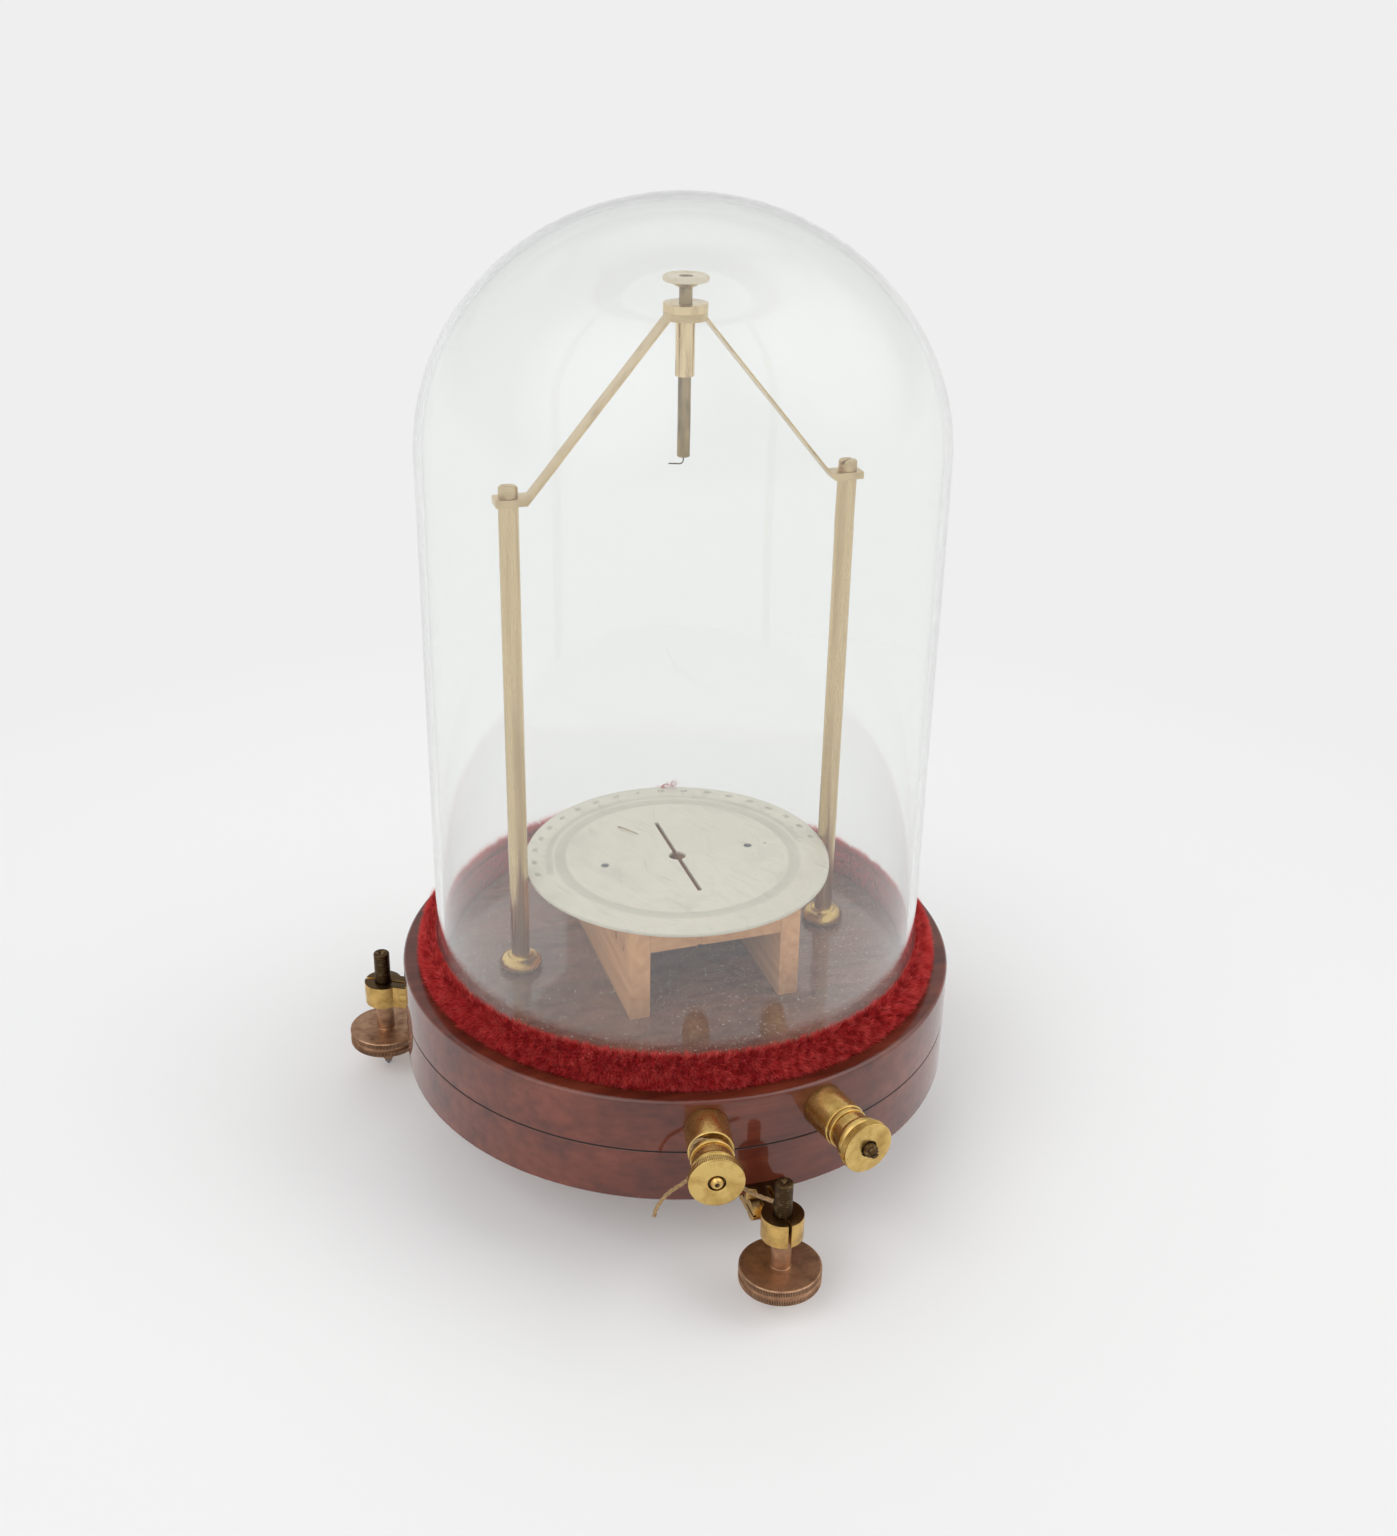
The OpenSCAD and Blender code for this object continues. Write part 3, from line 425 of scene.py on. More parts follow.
def finish(name):
    """The finish of this name, made when it is first asked for."""
    if name in FINISHES:
        return FINISHES[name]
    paint = bpy.context.scene.galvanometer_colours
    bright, dull = paint.brass, paint.brass_dull
    lacquer, bare = paint.lacquer, paint.lacquer_dull
    makers = {
        "mahogany": lambda: french_polished_mahogany(paint),
        # Painted shade for the seam between the discs and for the nuts' recesses
        "seam": lambda: dull_paint("painted shade in seams and recesses", paint.seam, 0.8),
        "fruitwood": lambda: waxed_fruitwood(paint),
        "glass": blown_glass,
        "silvering": lambda: silvered_brass(paint),
        "engraving": lambda: dull_paint("engraving wax", paint.ink, 0.7),
        "polished": lambda: brass("polished brass, turned", bright, dull, 0.35, 0.26, TURNED, groove=dull),
        "worn knurl": lambda: brass("polished brass, browned knurl", bright, dull, 0.35, 0.26, TURNED,
                                    groove=linear("#8b7043")),
        "pillar": lambda: brass("lacquered brass, drawn", lacquer, bare, 0.35, 0.26, DRAWN, (2.5, 2.5, 60)),
        "lacquered": lambda: brass("lacquered brass, filed", lacquer, bare, 0.3, 0.3, None, (7, 7, 7)),
        "bush": lambda: brass("lacquered brass, turned", linear("#e6cd9f"), bare, 0.3, 0.2, DRAWN,
                              (2, 2, 20)),
        "knob": lambda: brass("lacquered brass, spun", linear("#e8dcc4"), lacquer, 0.2, 0.34, TURNED),
        "aged": lambda: brass("aged brass", paint.aged, paint.aged_dark, 0.5, 0.34, None, (3, 3, 9)),
        "dark": lambda: brass("oxidised brass", paint.aged_dark, paint.aged, 0.1, 0.45, None, (2, 2, 2),
                              groove=linear("#3d2d1f")),
        # The brackets' tops lie under the base and get painted shade, in the dark oxide colour
        "bracket": lambda: brass("cast brass, painted shade on top", paint.boss, paint.boss_dull, 0.4, 0.3,
                                 None, (4, 4, 4), top=paint.aged_dark),
        "bronzed": lambda: brass("bronzed brass, turned", paint.bronzed, paint.bronzed_dark, 0.55, 0.42,
                                 TURNED, (3.5, 3.5, 3.5), groove=linear("#35251b")),
        "steel": lambda: brass("turned steel", linear("#9a9a9c"), linear("#5c5854"), 0.5, 0.3, None,
                               (2, 2, 2)),
        "pile": lambda: plush_pile(paint),
        "pile core": lambda: plain_cloth("crimson chenille core", paint.crimson, paint.crimson_dark, 1.2),
        "string": lambda: twisted_string(paint),
        "covered wire": lambda: plain_cloth("cotton covered wire", linear("#6d5433"), linear("#3b2b18"),
                                            0.5),
        "dust": lambda: dull_paint("dust", linear("#e6e0d6"), 0.9),
    }
    FINISHES[name] = makers[name]()
    return FINISHES[name]


# Meshes

def settle(piece, body, slot, *nodes):
    """Lets a piece ride on its body and stand for its nodes, which it hides. Its slot is not used."""
    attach(piece, body)
    if nodes:
        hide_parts(*nodes)
    return piece


def new_object(name, data):
    made = bpy.data.objects.new(name, data)
    bpy.context.scene.collection.objects.link(made)
    return made


def new_mesh(name, bm):
    """A mesh with what a bmesh holds, which is then freed."""
    mesh = bpy.data.meshes.new(name)
    bm.to_mesh(mesh)
    bm.free()
    return mesh


def object_from(name, mesh, material, sharp=35):
    """A new object for a finished mesh, shaded smooth between edges sharper than the angle."""
    mesh.shade_smooth()
    mesh.set_sharp_from_angle(angle=math.radians(sharp))
    mesh.materials.clear()
    mesh.materials.append(finish(material))
    return new_object(name, mesh)


def plain_mesh(piece):
    """Replaces an object's mesh by its evaluated one and drops its modifiers."""
    depsgraph = bpy.context.evaluated_depsgraph_get()
    mesh = bpy.data.meshes.new_from_object(piece.evaluated_get(depsgraph), depsgraph=depsgraph)
    piece.modifiers.clear()
    piece.data = mesh


def even(start, end, count):
    """Evenly spaced numbers from the start to the end."""
    return [start + (end - start) * k / count for k in range(count + 1)]


def softened(name, node, edge, material, body, slot, segments=2):
    """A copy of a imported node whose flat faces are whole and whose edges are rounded, on its body."""
    mesh = frame["nodes"][node].data.copy()
    bm = bmesh.new()
    bm.from_mesh(mesh)
    bmesh.ops.remove_doubles(bm, verts=bm.verts, dist=0.002 * MM)
    bmesh.ops.dissolve_limit(bm, angle_limit=math.radians(0.3), verts=bm.verts, edges=bm.edges,
                             use_dissolve_boundaries=False)
    bm.to_mesh(mesh)
    bm.free()
    if mesh.has_custom_normals:
        mesh.attributes.remove(mesh.attributes["custom_normal"])
    piece = object_from(name, mesh, material)
    if edge:
        bevel = piece.modifiers.new("edge", "BEVEL")
        bevel.width = edge
        bevel.segments = segments
        bevel.limit_method = "ANGLE"
        bevel.angle_limit = math.radians(BEVEL_FROM)
        plain_mesh(piece)
        piece.data.set_sharp_from_angle(angle=math.radians(SHARP_FROM))
    return settle(piece, body, slot, node)


def rounded(points, closed=False, steps=4):
    """A profile of (radius, height) points. A third number rounds the corner by that much."""
    line, count = [], len(points)
    for k, point in enumerate(points):
        here = Vector(point[:2])
        inner = closed or 0 < k < count - 1
        if len(point) < 3 or not inner:
            line.append(here)
            continue
        before = Vector(points[k - 1][:2]) - here
        after = Vector(points[(k + 1) % count][:2]) - here
        start = here + before.normalized() * min(point[2], before.length * 0.49)
        end = here + after.normalized() * min(point[2], after.length * 0.49)
        for i in range(steps + 1):
            t = i / steps
            line.append(start * (1 - t) ** 2 + here * 2 * t * (1 - t) + end * t * t)
    return line


def turned_mesh(profile, sides=96, closed=False, start=0.0, sweep=360.0):
    """Turns a profile in millimetres about Z, with UV: turns round the axis and millimetres along it."""
    whole = sweep >= 360
    columns = sides if whole else sides + 1
    bm = bmesh.new()
    sheet = bm.loops.layers.uv.new("turning")
    rings = []
    for r, z in profile:
        if r < 1e-6:
            rings.append([bm.verts.new((0, 0, z))])
            continue
        angles = [math.radians(start + sweep * k / sides) for k in range(columns)]
        rings.append([bm.verts.new((r * math.cos(a), r * math.sin(a), z)) for a in angles])
    travel = [0.0]
    for a, b in zip(profile, profile[1:]):
        travel.append(travel[-1] + (Vector(b) - Vector(a)).length)
    pairs = [(k, k + 1) for k in range(len(rings) - 1)]
    if closed:
        pairs.append((len(rings) - 1, 0))
        travel.append(travel[-1] + (Vector(profile[0]) - Vector(profile[-1])).length)
    for low, high in pairs:
        a, b = rings[low], rings[high]
        v = (travel[low], travel[low + 1])
        for k in range(sides):
            n = (k + 1) % columns
            u = (k / sides, (k + 1) / sides)
            if len(a) == 1:
                corner, spots = (a[0], b[n], b[k]), ((u[0], v[0]), (u[1], v[1]), (u[0], v[1]))
            elif len(b) == 1:
                corner, spots = (a[k], a[n], b[0]), ((u[0], v[0]), (u[1], v[0]), (u[0], v[1]))
            else:
                corner = (a[k], a[n], b[n], b[k])
                spots = ((u[0], v[0]), (u[1], v[0]), (u[1], v[1]), (u[0], v[1]))
            face = bm.faces.new(corner)
            for loop, spot in zip(face.loops, spots):
                loop[sheet].uv = spot
    if whole:
        bmesh.ops.recalc_face_normals(bm, faces=bm.faces)
    return new_mesh("turned", bm)


def turned(name, points, material, body, slot, *nodes, sides=96, closed=False, place=Matrix(), sharp=35):
    """A turned piece in its place on its body, from a profile in millimetres."""
    mesh = turned_mesh(rounded(points, closed), sides, closed)
    mesh.transform(METRES @ place)
    return settle(object_from(name, mesh, material, sharp), body, slot, *nodes)


def smooth_line(points, steps=4):
    """A smooth line through the points, as a Catmull-Rom curve."""
    spots = [Vector(p) for p in points]
    spots = [spots[0] * 2 - spots[1]] + spots + [spots[-1] * 2 - spots[-2]]
    line = []
    for k in range(1, len(spots) - 2):
        a, b, c, d = spots[k - 1:k + 3]
        for i in range(steps):
            t = i / steps
            line.append(0.5 * (2 * b + (c - a) * t + (2 * a - 5 * b + 4 * c - d) * t * t
                               + (3 * b - a - 3 * c + d) * t ** 3))
    line.append(spots[-2])
    return line


def line_frames(line):
    """A side and an up direction at each point of a line, turned as little as possible."""
    frames, side = [], None
    for k, here in enumerate(line):
        ahead = (line[min(k + 1, len(line) - 1)] - line[max(k - 1, 0)]).normalized()
        if side is None:
            side = ahead.orthogonal()
        side = (side - ahead * side.dot(ahead)).normalized()
        frames.append((side, ahead.cross(side)))
    return frames


def swept_tube(bm, line, radii, sides=8):
    """Adds a closed tube along a line to a bmesh, with UV: turns round it and millimetres along it."""
    sheet = bm.loops.layers.uv.verify()
    rings, travel = [], 0.0
    for k, ((side, up), here) in enumerate(zip(line_frames(line), line)):
        travel += (here - line[k - 1]).length if k else 0
        angles = [2 * math.pi * c / sides for c in range(sides)]
        rings.append((travel, [bm.verts.new(here + radii[k] * (side * math.cos(a) + up * math.sin(a)))
                               for a in angles]))
    for (low_v, low), (high_v, high) in zip(rings, rings[1:]):
        for c in range(sides):
            n = (c + 1) % sides
            face = bm.faces.new((low[c], low[n], high[n], high[c]))
            corner = ((c, low_v), (c + 1, low_v), (c + 1, high_v), (c, high_v))
            for loop, (turn, v) in zip(face.loops, corner):
                loop[sheet].uv = (turn / sides, v)
    bm.faces.new(list(reversed(rings[0][1])))
    bm.faces.new(rings[-1][1])


def from_bmesh(name, bm, material, body, slot, *nodes, sharp=40):
    mesh = new_mesh(name, bm)
    mesh.transform(METRES)
    return settle(object_from(name, mesh, material, sharp), body, slot, *nodes)


# Geometry Nodes

def geometry_tree(name, inputs):
    """A new geometry tree with named inputs and a material, the function that adds its nodes, and its
    input sockets."""
    tree = bpy.data.node_groups.new(name, "GeometryNodeTree")
    tree.interface.new_socket("Geometry", in_out="INPUT", socket_type="NodeSocketGeometry")
    for label, value in inputs.items():
        kind = "NodeSocketInt" if isinstance(value, int) else "NodeSocketFloat"
        tree.interface.new_socket(label, in_out="INPUT", socket_type=kind).default_value = value
    tree.interface.new_socket("Material", in_out="INPUT", socket_type="NodeSocketMaterial")
    tree.interface.new_socket("Geometry", in_out="OUTPUT", socket_type="NodeSocketGeometry")
    add = partial(add_node, tree)
    return tree, add, add("GroupInput").outputs


def end_tree(add, start, geometry):
    real = add("RealizeInstances", geometry)
    dressed = add("SetMaterial", real, {"Material": start["Material"]})
    add("GroupOutput", dressed)


def grown(name, base, tree, values, material, body, slot, *nodes, place=Matrix()):
    """Runs a geometry tree on a base mesh and keeps the result as a plain mesh, on its body."""
    piece = new_object(name, base)
    modifier = piece.modifiers.new("shape", "NODES")
    modifier.node_group = tree
    values = {**values, "Material": finish(material)}
    for item in tree.interface.items_tree:
        if item.in_out == "INPUT" and item.name in values:
            modifier[item.identifier] = values[item.name]
    plain_mesh(piece)
    if not piece.data.polygons:
        raise RuntimeError(f"{name} came out empty")
    piece.data.transform(place)
    return settle(piece, body, slot, *nodes)


def teeth_tree():
    """Cuts teeth round a turned mesh: straight ones for a knurl, or one that climbs for a thread. They are
    full from one height to another and run out to nothing at the ends."""
    tree, add, start = geometry_tree("cut teeth", {
        "Teeth": 90.0, "Radians per metre": 0.0, "Depth": 0.2 * MM, "Low": 0.0, "Full from": 0.1,
        "Full to": 0.9, "High": 1.0, "Least radius": 0.0})
    x, y, z = add("SeparateXYZ", add("InputPosition")).outputs
    angle = add("Math", y, x, operation="ARCTAN2")
    turn = add("Math", angle, start["Teeth"], operation="MULTIPLY")
    phase = add("Math", z, start["Radians per metre"], turn, operation="MULTIPLY_ADD")
    wave = add("Math", phase, operation="COSINE")
    flat = add("CombineXYZ", x, y)
    radius = add("VectorMath", flat, operation="LENGTH")
    away = add("VectorMath", flat, operation="NORMALIZE")
    rise = add("MapRange", z, start["Low"], start["Full from"], 0.0, 1.0)
    fall = add("MapRange", z, start["High"], start["Full to"], 0.0, 1.0)
    outside = add("Math", radius, start["Least radius"], operation="GREATER_THAN")
    groove = add("MapRange", wave, 1.0, -1.0, 0.0, 1.0)
    for share in (rise, fall, outside):
        groove = add("Math", groove, share, operation="MULTIPLY")
    depth = add("Math", groove, start["Depth"], operation="MULTIPLY")
    inward = add("Math", 0.0, depth, operation="SUBTRACT")
    offset = add("VectorMath", away, inward, operation="SCALE")
    marked = add("StoreNamedAttribute", start["Geometry"], {"Name": "groove", "Value": groove})
    cut = add("SetPosition", marked, {"Offset": offset})
    end_tree(add, start, cut)
    return tree


def cut_teeth(name, points, material, body, slot, *nodes, teeth, bands, place, sides=4, closed=False,
              climb=0.0):
    """A turned piece with teeth cut in it. teeth is their number, depth and least radius, sides the faces
    round each tooth, and bands where they start, are full, are full to and end, in millimetres."""
    count, depth, least = teeth
    mesh = turned_mesh(rounded(points, closed), count * sides, closed)
    mesh.transform(METRES)
    tree = bpy.data.node_groups.get("cut teeth") or teeth_tree()
    values = {"Teeth": float(count), "Radians per metre": climb, "Depth": depth * MM,
              "Least radius": least * MM}
    values.update(zip(("Low", "Full from", "Full to", "High"), (height * MM for height in bands)))
    metres = METRES @ place @ Matrix.Scale(1 / MM, 4)
    piece = grown(name, mesh, tree, values, material, body, slot, *nodes, place=metres)
    piece.data.shade_smooth()
    piece.data.set_sharp_from_angle(angle=math.radians(40))


def pile_tree():
    """Plants bent tapered fibres on a surface. They lean together in tufts, stand taller at the back, and
    stay clear of glass and wood."""
    tree, add, start = geometry_tree("pile", {
        "Fibres": 1e6, "Length": 3 * MM, "Width": 0.2 * MM, "Tuft": 2.5 * MM, "Lean": 1.6,
        "Taller back": 0.0, "Glass radius": 0.08, "Rim radius": 0.084, "Rim height": 0.0, "Seed": 1})
    seeds = [add("Math", start["Seed"], float(k), operation="ADD") for k in range(4)]
    spot = add("InputPosition")
    x, y, z = add("SeparateXYZ", spot).outputs
    flat = add("CombineXYZ", x, y)
    radius = add("VectorMath", flat, operation="LENGTH")
    cone = add("MeshCone", {
        "Vertices": 3, "Side Segments": 2, "Radius Top": 0.0, "Radius Bottom": 0.5, "Depth": 1.0},
        fill_type="NONE")
    bend = add("Math", z, 2.0, operation="POWER")
    curve = add("Math", bend, 1.6, operation="MULTIPLY")
    bent = add("SetPosition", cone, {"Offset": add("CombineXYZ", curve)})
    fibre = add("StoreNamedAttribute", bent, {"Name": "along", "Value": z})
    planted = add("DistributePointsOnFaces", start["Geometry"], {
        "Density": start["Fibres"], "Seed": start["Seed"]})
    often = add("Math", 1.0, start["Tuft"], operation="DIVIDE")
    tuft = add("TexNoise", spot, often, 1.0).outputs
    swirl = add("VectorMath", tuft["Color"], (0.5, 0.5, 0.5), operation="SUBTRACT")
    leaning = add("VectorMath", swirl, start["Lean"], operation="SCALE")
    stray = add("RandomValue", (-0.5, -0.5, -0.5), (0.5, 0.5, 0.5), {
        "Seed": seeds[0]}, data_type="FLOAT_VECTOR")
    way = planted.outputs["Normal"]
    for more in (leaning, stray):
        way = add("VectorMath", way, more, operation="ADD")
    upright = add("AlignRotationToVector", {"Vector": way}, axis="Z")
    spin = add("RandomValue", 0.0, 2 * math.pi, {"Seed": seeds[1]})
    spun = add("RotateRotation", upright, add("CombineXYZ", 0.0, 0.0, spin), rotation_space="LOCAL")
    behind = add("Math", y, radius, operation="DIVIDE")
    grows = add("MapRange", behind, 0.3, 1.0, 0.0, start["Taller back"])
    taller = add("Math", grows, 1.0, operation="ADD")
    uneven = add("MapRange", tuft["Fac"], 0.35, 0.65, 0.75, 1.1)
    tall = add("RandomValue", 0.45, 1.0, {"Seed": seeds[2]})
    for share in (taller, uneven, start["Length"]):
        tall = add("Math", tall, share, operation="MULTIPLY")
    size = add("CombineXYZ", start["Width"], start["Width"], tall)
    rows = add("InstanceOnPoints", planted, {"Instance": fibre, "Rotation": spun, "Scale": size})
    # Each fibre's painted shade and highlight, by its tuft and at random
    shade = add("RandomValue", -1.3, -0.7, {"Seed": seeds[3]})
    toned = add("Math", tuft["Fac"], 3.0, shade, operation="MULTIPLY_ADD")
    shaded = add("StoreNamedAttribute", rows, {"Name": "shade", "Value": toned}, domain="INSTANCE")
    real = add("RealizeInstances", shaded)
    nearer = add("Math", start["Glass radius"], radius, operation="DIVIDE")
    widen = add("Math", nearer, 1.0, operation="MAXIMUM")
    over = add("Math", radius, start["Rim radius"], operation="GREATER_THAN")
    rim = add("Math", over, start["Rim height"], operation="MULTIPLY")
    high = add("Math", z, rim, operation="MAXIMUM")
    freed = add("VectorMath", flat, widen, operation="SCALE")
    lifted = add("VectorMath", freed, add("CombineXYZ", 0.0, 0.0, high), operation="ADD")
    clear = add("SetPosition", real, {"Position": lifted})
    end_tree(add, start, clear)
    return tree


def ticks_tree():
    """Bars on an arc, one for each degree: short, longer at fives and longest at tens."""
    tree, add, start = geometry_tree("degree ticks", {
        "Degrees": 180, "Inner radius": 0.04, "Short": 2 * MM, "Step": 0.7 * MM, "Width": 0.1 * MM,
        "Height": 0.0, "Thickness": 0.1 * MM})
    count = add("Math", start["Degrees"], 1.0, operation="ADD")
    index = add("InputIndex")
    angle = add("Math", index, operation="RADIANS")
    reach = start["Short"]
    for often in (5.0, 10.0):
        left = add("Math", index, often, operation="MODULO")
        marked = add("Math", left, 0.5, operation="LESS_THAN")
        reach = add("Math", marked, start["Step"], reach, operation="MULTIPLY_ADD")
    middle = add("Math", reach, 0.5, start["Inner radius"], operation="MULTIPLY_ADD")
    cosine, sine = (add("Math", angle, operation=kind) for kind in ("COSINE", "SINE"))
    across, ahead = (add("Math", middle, each, operation="MULTIPLY") for each in (cosine, sine))
    place = add("CombineXYZ", across, ahead, start["Height"])
    dots = add("Points", count, place)
    bar = add("MeshCube", (1, 1, 1))
    size = add("CombineXYZ", reach, start["Width"], start["Thickness"])
    aim = add("CombineXYZ", 0.0, 0.0, angle)
    rows = add("InstanceOnPoints", dots, {"Instance": bar, "Rotation": aim, "Scale": size})
    end_tree(add, start, rows)
    return tree


def dust_tree():
    """Scatters small flat crumbs on a surface."""
    tree, add, start = geometry_tree("dust", {"Density": 1e5, "Size": 0.3 * MM, "Seed": 1})
    spread = add("DistributePointsOnFaces", start["Geometry"], {
        "Density": start["Density"], "Seed": start["Seed"]})
    crumb = add("MeshIcoSphere", {"Radius": 0.5, "Subdivisions": 1})
    seeds = [add("Math", start["Seed"], float(k), operation="ADD") for k in range(3)]
    draw = add("RandomValue", 0.0, 1.0, {"Seed": seeds[0]})
    small = add("Math", draw, 2.5, operation="POWER")
    share = add("MapRange", small, 0.0, 1.0, 0.25, 1.0)
    across = add("Math", share, start["Size"], operation="MULTIPLY")
    stretch = add("RandomValue", 0.6, 1.5, {"Seed": seeds[1]})
    along = add("Math", across, stretch, operation="MULTIPLY")
    thick = add("Math", across, 0.4, operation="MULTIPLY")
    size = add("CombineXYZ", along, across, thick)
    spin = add("RandomValue", 0.0, 2 * math.pi, {"Seed": seeds[2]})
    aim = add("CombineXYZ", 0.0, 0.0, spin)
    turn = add("RotateRotation", spread.outputs["Rotation"], aim, rotation_space="LOCAL")
    rows = add("InstanceOnPoints", spread, {"Instance": crumb, "Rotation": turn, "Scale": size})
    end_tree(add, start, rows)
    return tree


# Stage

CAMERA_PLACE = (-160.99, -495.11, 385.36)
# Turn about the upright axis, pitch up from straight down, and roll, in degrees
CAMERA_TURNS = ((-18.71, "Z"), (90 - 26.073, "X"), (1.184, "Z"))
PHOTO_HEIGHT = 1536
FOCAL_PIXELS = 1820.58
SENSOR = 36
# Colour of the plain background, and the distances in millimetres between which the floor fades to it
BACKGROUND = linear("#efefef")
FLOOR_FADE = (90, 450)
# Place and size in millimetres of each lamp, and the light that it gives a white surface which faces it
LAMPS = {
    "left softbox": ((-2100, -1300, 2200), 2300, 0.26),
    "right softbox": ((2200, -1100, 2200), 2300, 0.25),
    "back softbox": ((500, 2400, 2500), 2200, 0.13),
}
# Light of the room's walls by height, for matt surfaces and for shining ones, and its two bright windows
ROOM_MATT = ((0.0, 1.6), (0.3, 1.2), (0.6, 0.5), (0.95, 0.42))
ROOM_SHINE = ((0.0, 0.88), (0.2, 0.5), (0.55, 0.45), (0.95, 0.9))
WINDOWS = ((-0.64, -0.36, 0.68), (0.68, -0.24, 0.69))
WINDOW_EDGE = ((0.74, 0.0), (0.97, 1.2))
FLOOR_R = 14 / MM


class GALVANOMETER_OT_stage(bpy.types.Operator):
    """Sets the camera, the pale floor and the soft studio light."""
    bl_idname = "galvanometer.stage"
    bl_label = "Stage"

    def execute(self, context):
        scene = context.scene
        scene.view_settings.view_transform = "Standard"
        camera = new_object("camera", bpy.data.cameras.new("camera"))
        # The sensor's width is fitted to the longer side, which is the height of an upright picture
        camera.data.sensor_width = SENSOR
        camera.data.lens = FOCAL_PIXELS * SENSOR / PHOTO_HEIGHT
        camera.data.clip_start = 0.01
        place = Matrix.Translation(Vector(CAMERA_PLACE) * MM)
        for degrees, axis in CAMERA_TURNS:
            place = place @ Matrix.Rotation(math.radians(degrees), 4, axis)
        camera.matrix_world = place
        scene.camera = camera
        self.floor(scene)
        self.world(scene)
        for name, (place, size, share) in LAMPS.items():
            self.lamp(name, Vector(place), size, share)
        return {"FINISHED"}

    def floor(self, scene):
        """A matt floor that fades to the plain background, for eyes and mirrors, outside the shadows."""
        made, add = new_material("studio floor")
        shader = add("BsdfDiffuse", scene.galvanometer_colours.backdrop, 0.5)
        reach = add("VectorMath", add("TexCoord").outputs["Object"], operation="LENGTH")
        far = add("MapRange", reach, FLOOR_FADE[0] * MM, FLOOR_FADE[1] * MM, 0.0, 1.0)
        rays = add("LightPath").outputs
        seen = rays["Is Camera Ray"]
        for ray in ("Is Glossy Ray", "Is Transmission Ray"):
            seen = add("Math", seen, rays[ray], operation="MAXIMUM")
        share = add("Math", far, seen, operation="MULTIPLY")
        plain = add("Emission", BACKGROUND, 1.0)
        add("OutputMaterial", add("MixShader", share, shader, plain))
        bm = bmesh.new()
        bmesh.ops.create_circle(bm, cap_ends=True, radius=FLOOR_R * MM, segments=96)
        mesh = new_mesh("floor", bm)
        mesh.materials.append(made)
        new_object("floor", mesh)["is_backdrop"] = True

    def world(self, scene):
        """The plain background for eyes and glass, and grey walls with two windows for what shines."""
        scene.world = world = scene.world or bpy.data.worlds.new("studio")
        world.use_nodes = True
        world.node_tree.nodes.clear()
        add = partial(add_node, world.node_tree)
        rays = add("LightPath").outputs
        seen = add("Math", rays["Is Camera Ray"], rays["Is Transmission Ray"], operation="MAXIMUM")
        way = add("TexCoord").outputs["Generated"]
        height = add("SeparateXYZ", way).outputs["Z"]
        walls = add("ValToRGB", height, stops=ROOM_MATT)
        shine = add("ValToRGB", height, stops=ROOM_SHINE)
        for aim in WINDOWS:
            toward = add("VectorMath", way, aim, operation="DOT_PRODUCT")
            light = add("ValToRGB", toward, stops=WINDOW_EDGE)
            shine = add("Mix", 1.0, shine, light, data_type="RGBA", blend_type="ADD")
        band = add("Mix", rays["Is Glossy Ray"], walls, shine, data_type="RGBA")
        room = add("Background", band, 1.0)
        pale = add("Background", BACKGROUND, 1.0)
        add("OutputWorld", add("MixShader", seen, room, pale))

    def lamp(self, name, place, size, share):
        """A square lamp that mirrors and glass don't show."""
        data = bpy.data.lights.new(name, "AREA")
        data.shape = "SQUARE"
        data.size = size * MM
        data.energy = share * (math.pi * place.length * MM) ** 2
        lamp = new_object(name, data)
        aim = (Vector((0, 0, dial_z)) - place).to_track_quat("-Z", "Y")
        lamp.matrix_world = Matrix.Translation(place * MM) @ aim.to_matrix().to_4x4()
        lamp.visible_glossy = False
        lamp.visible_transmission = False


# String. A point is across, up and out from the left terminal's axis, between its post and washer

STRING_OUT = 102.45
STRING_LEFT = [(0, 4.6, 0), (-1.8, 5, 0), (-3.6, 5.2, 0), (-5, 4.3, 0), (-5.6, 2.4, 0),
               (-5.5, 0, 0), (-5.3, -2.6, 0), (-5.4, -5.2, 0), (-6, -7.4, 0), (-7.3, -9.2, 0),
               (-9.2, -10.6, 0.2), (-11.4, -12, 0.4), (-13.4, -14, 0.6), (-15, -16.4, 0.7),
               (-16, -18.7, 0.7), (-16.4, -20.8, 0.7)]
STRING_RIGHT = [(0, 4.6, 0), (1.8, 4.2, 0), (3.7, 3.6, 0), (5, 2.2, 0), (5.4, 0, 0),
                (5.2, -2.6, 0), (5.1, -5.2, 0), (5.6, -7.6, 0.2), (6.9, -9.6, 0.8), (8.9, -10.9, 2),
                (11.2, -11.7, 3.6), (13.8, -12.1, 5.2), (17.2, -12.4, 7.1)]
# Three plies: radius, distance from the string's middle, length of a turn, and how far the end is loose
PLY_R, PLY_OUT, PLY_LAY, PLY_LOOSE = 0.38, 0.27, 6.5, 1.6
STRAY_HAIRS, STRAY_R = 26, 0.035


def terminal_ways(side):
    """The turn of a terminal about the upright axis, and the directions out along it and across it."""
    turn = math.atan2(*reversed(JOINTS[f"nut_{side}_travel"]["axis"][:2]))
    return turn, Vector((math.cos(turn), math.sin(turn), 0)), Vector((-math.sin(turn), math.cos(turn), 0))


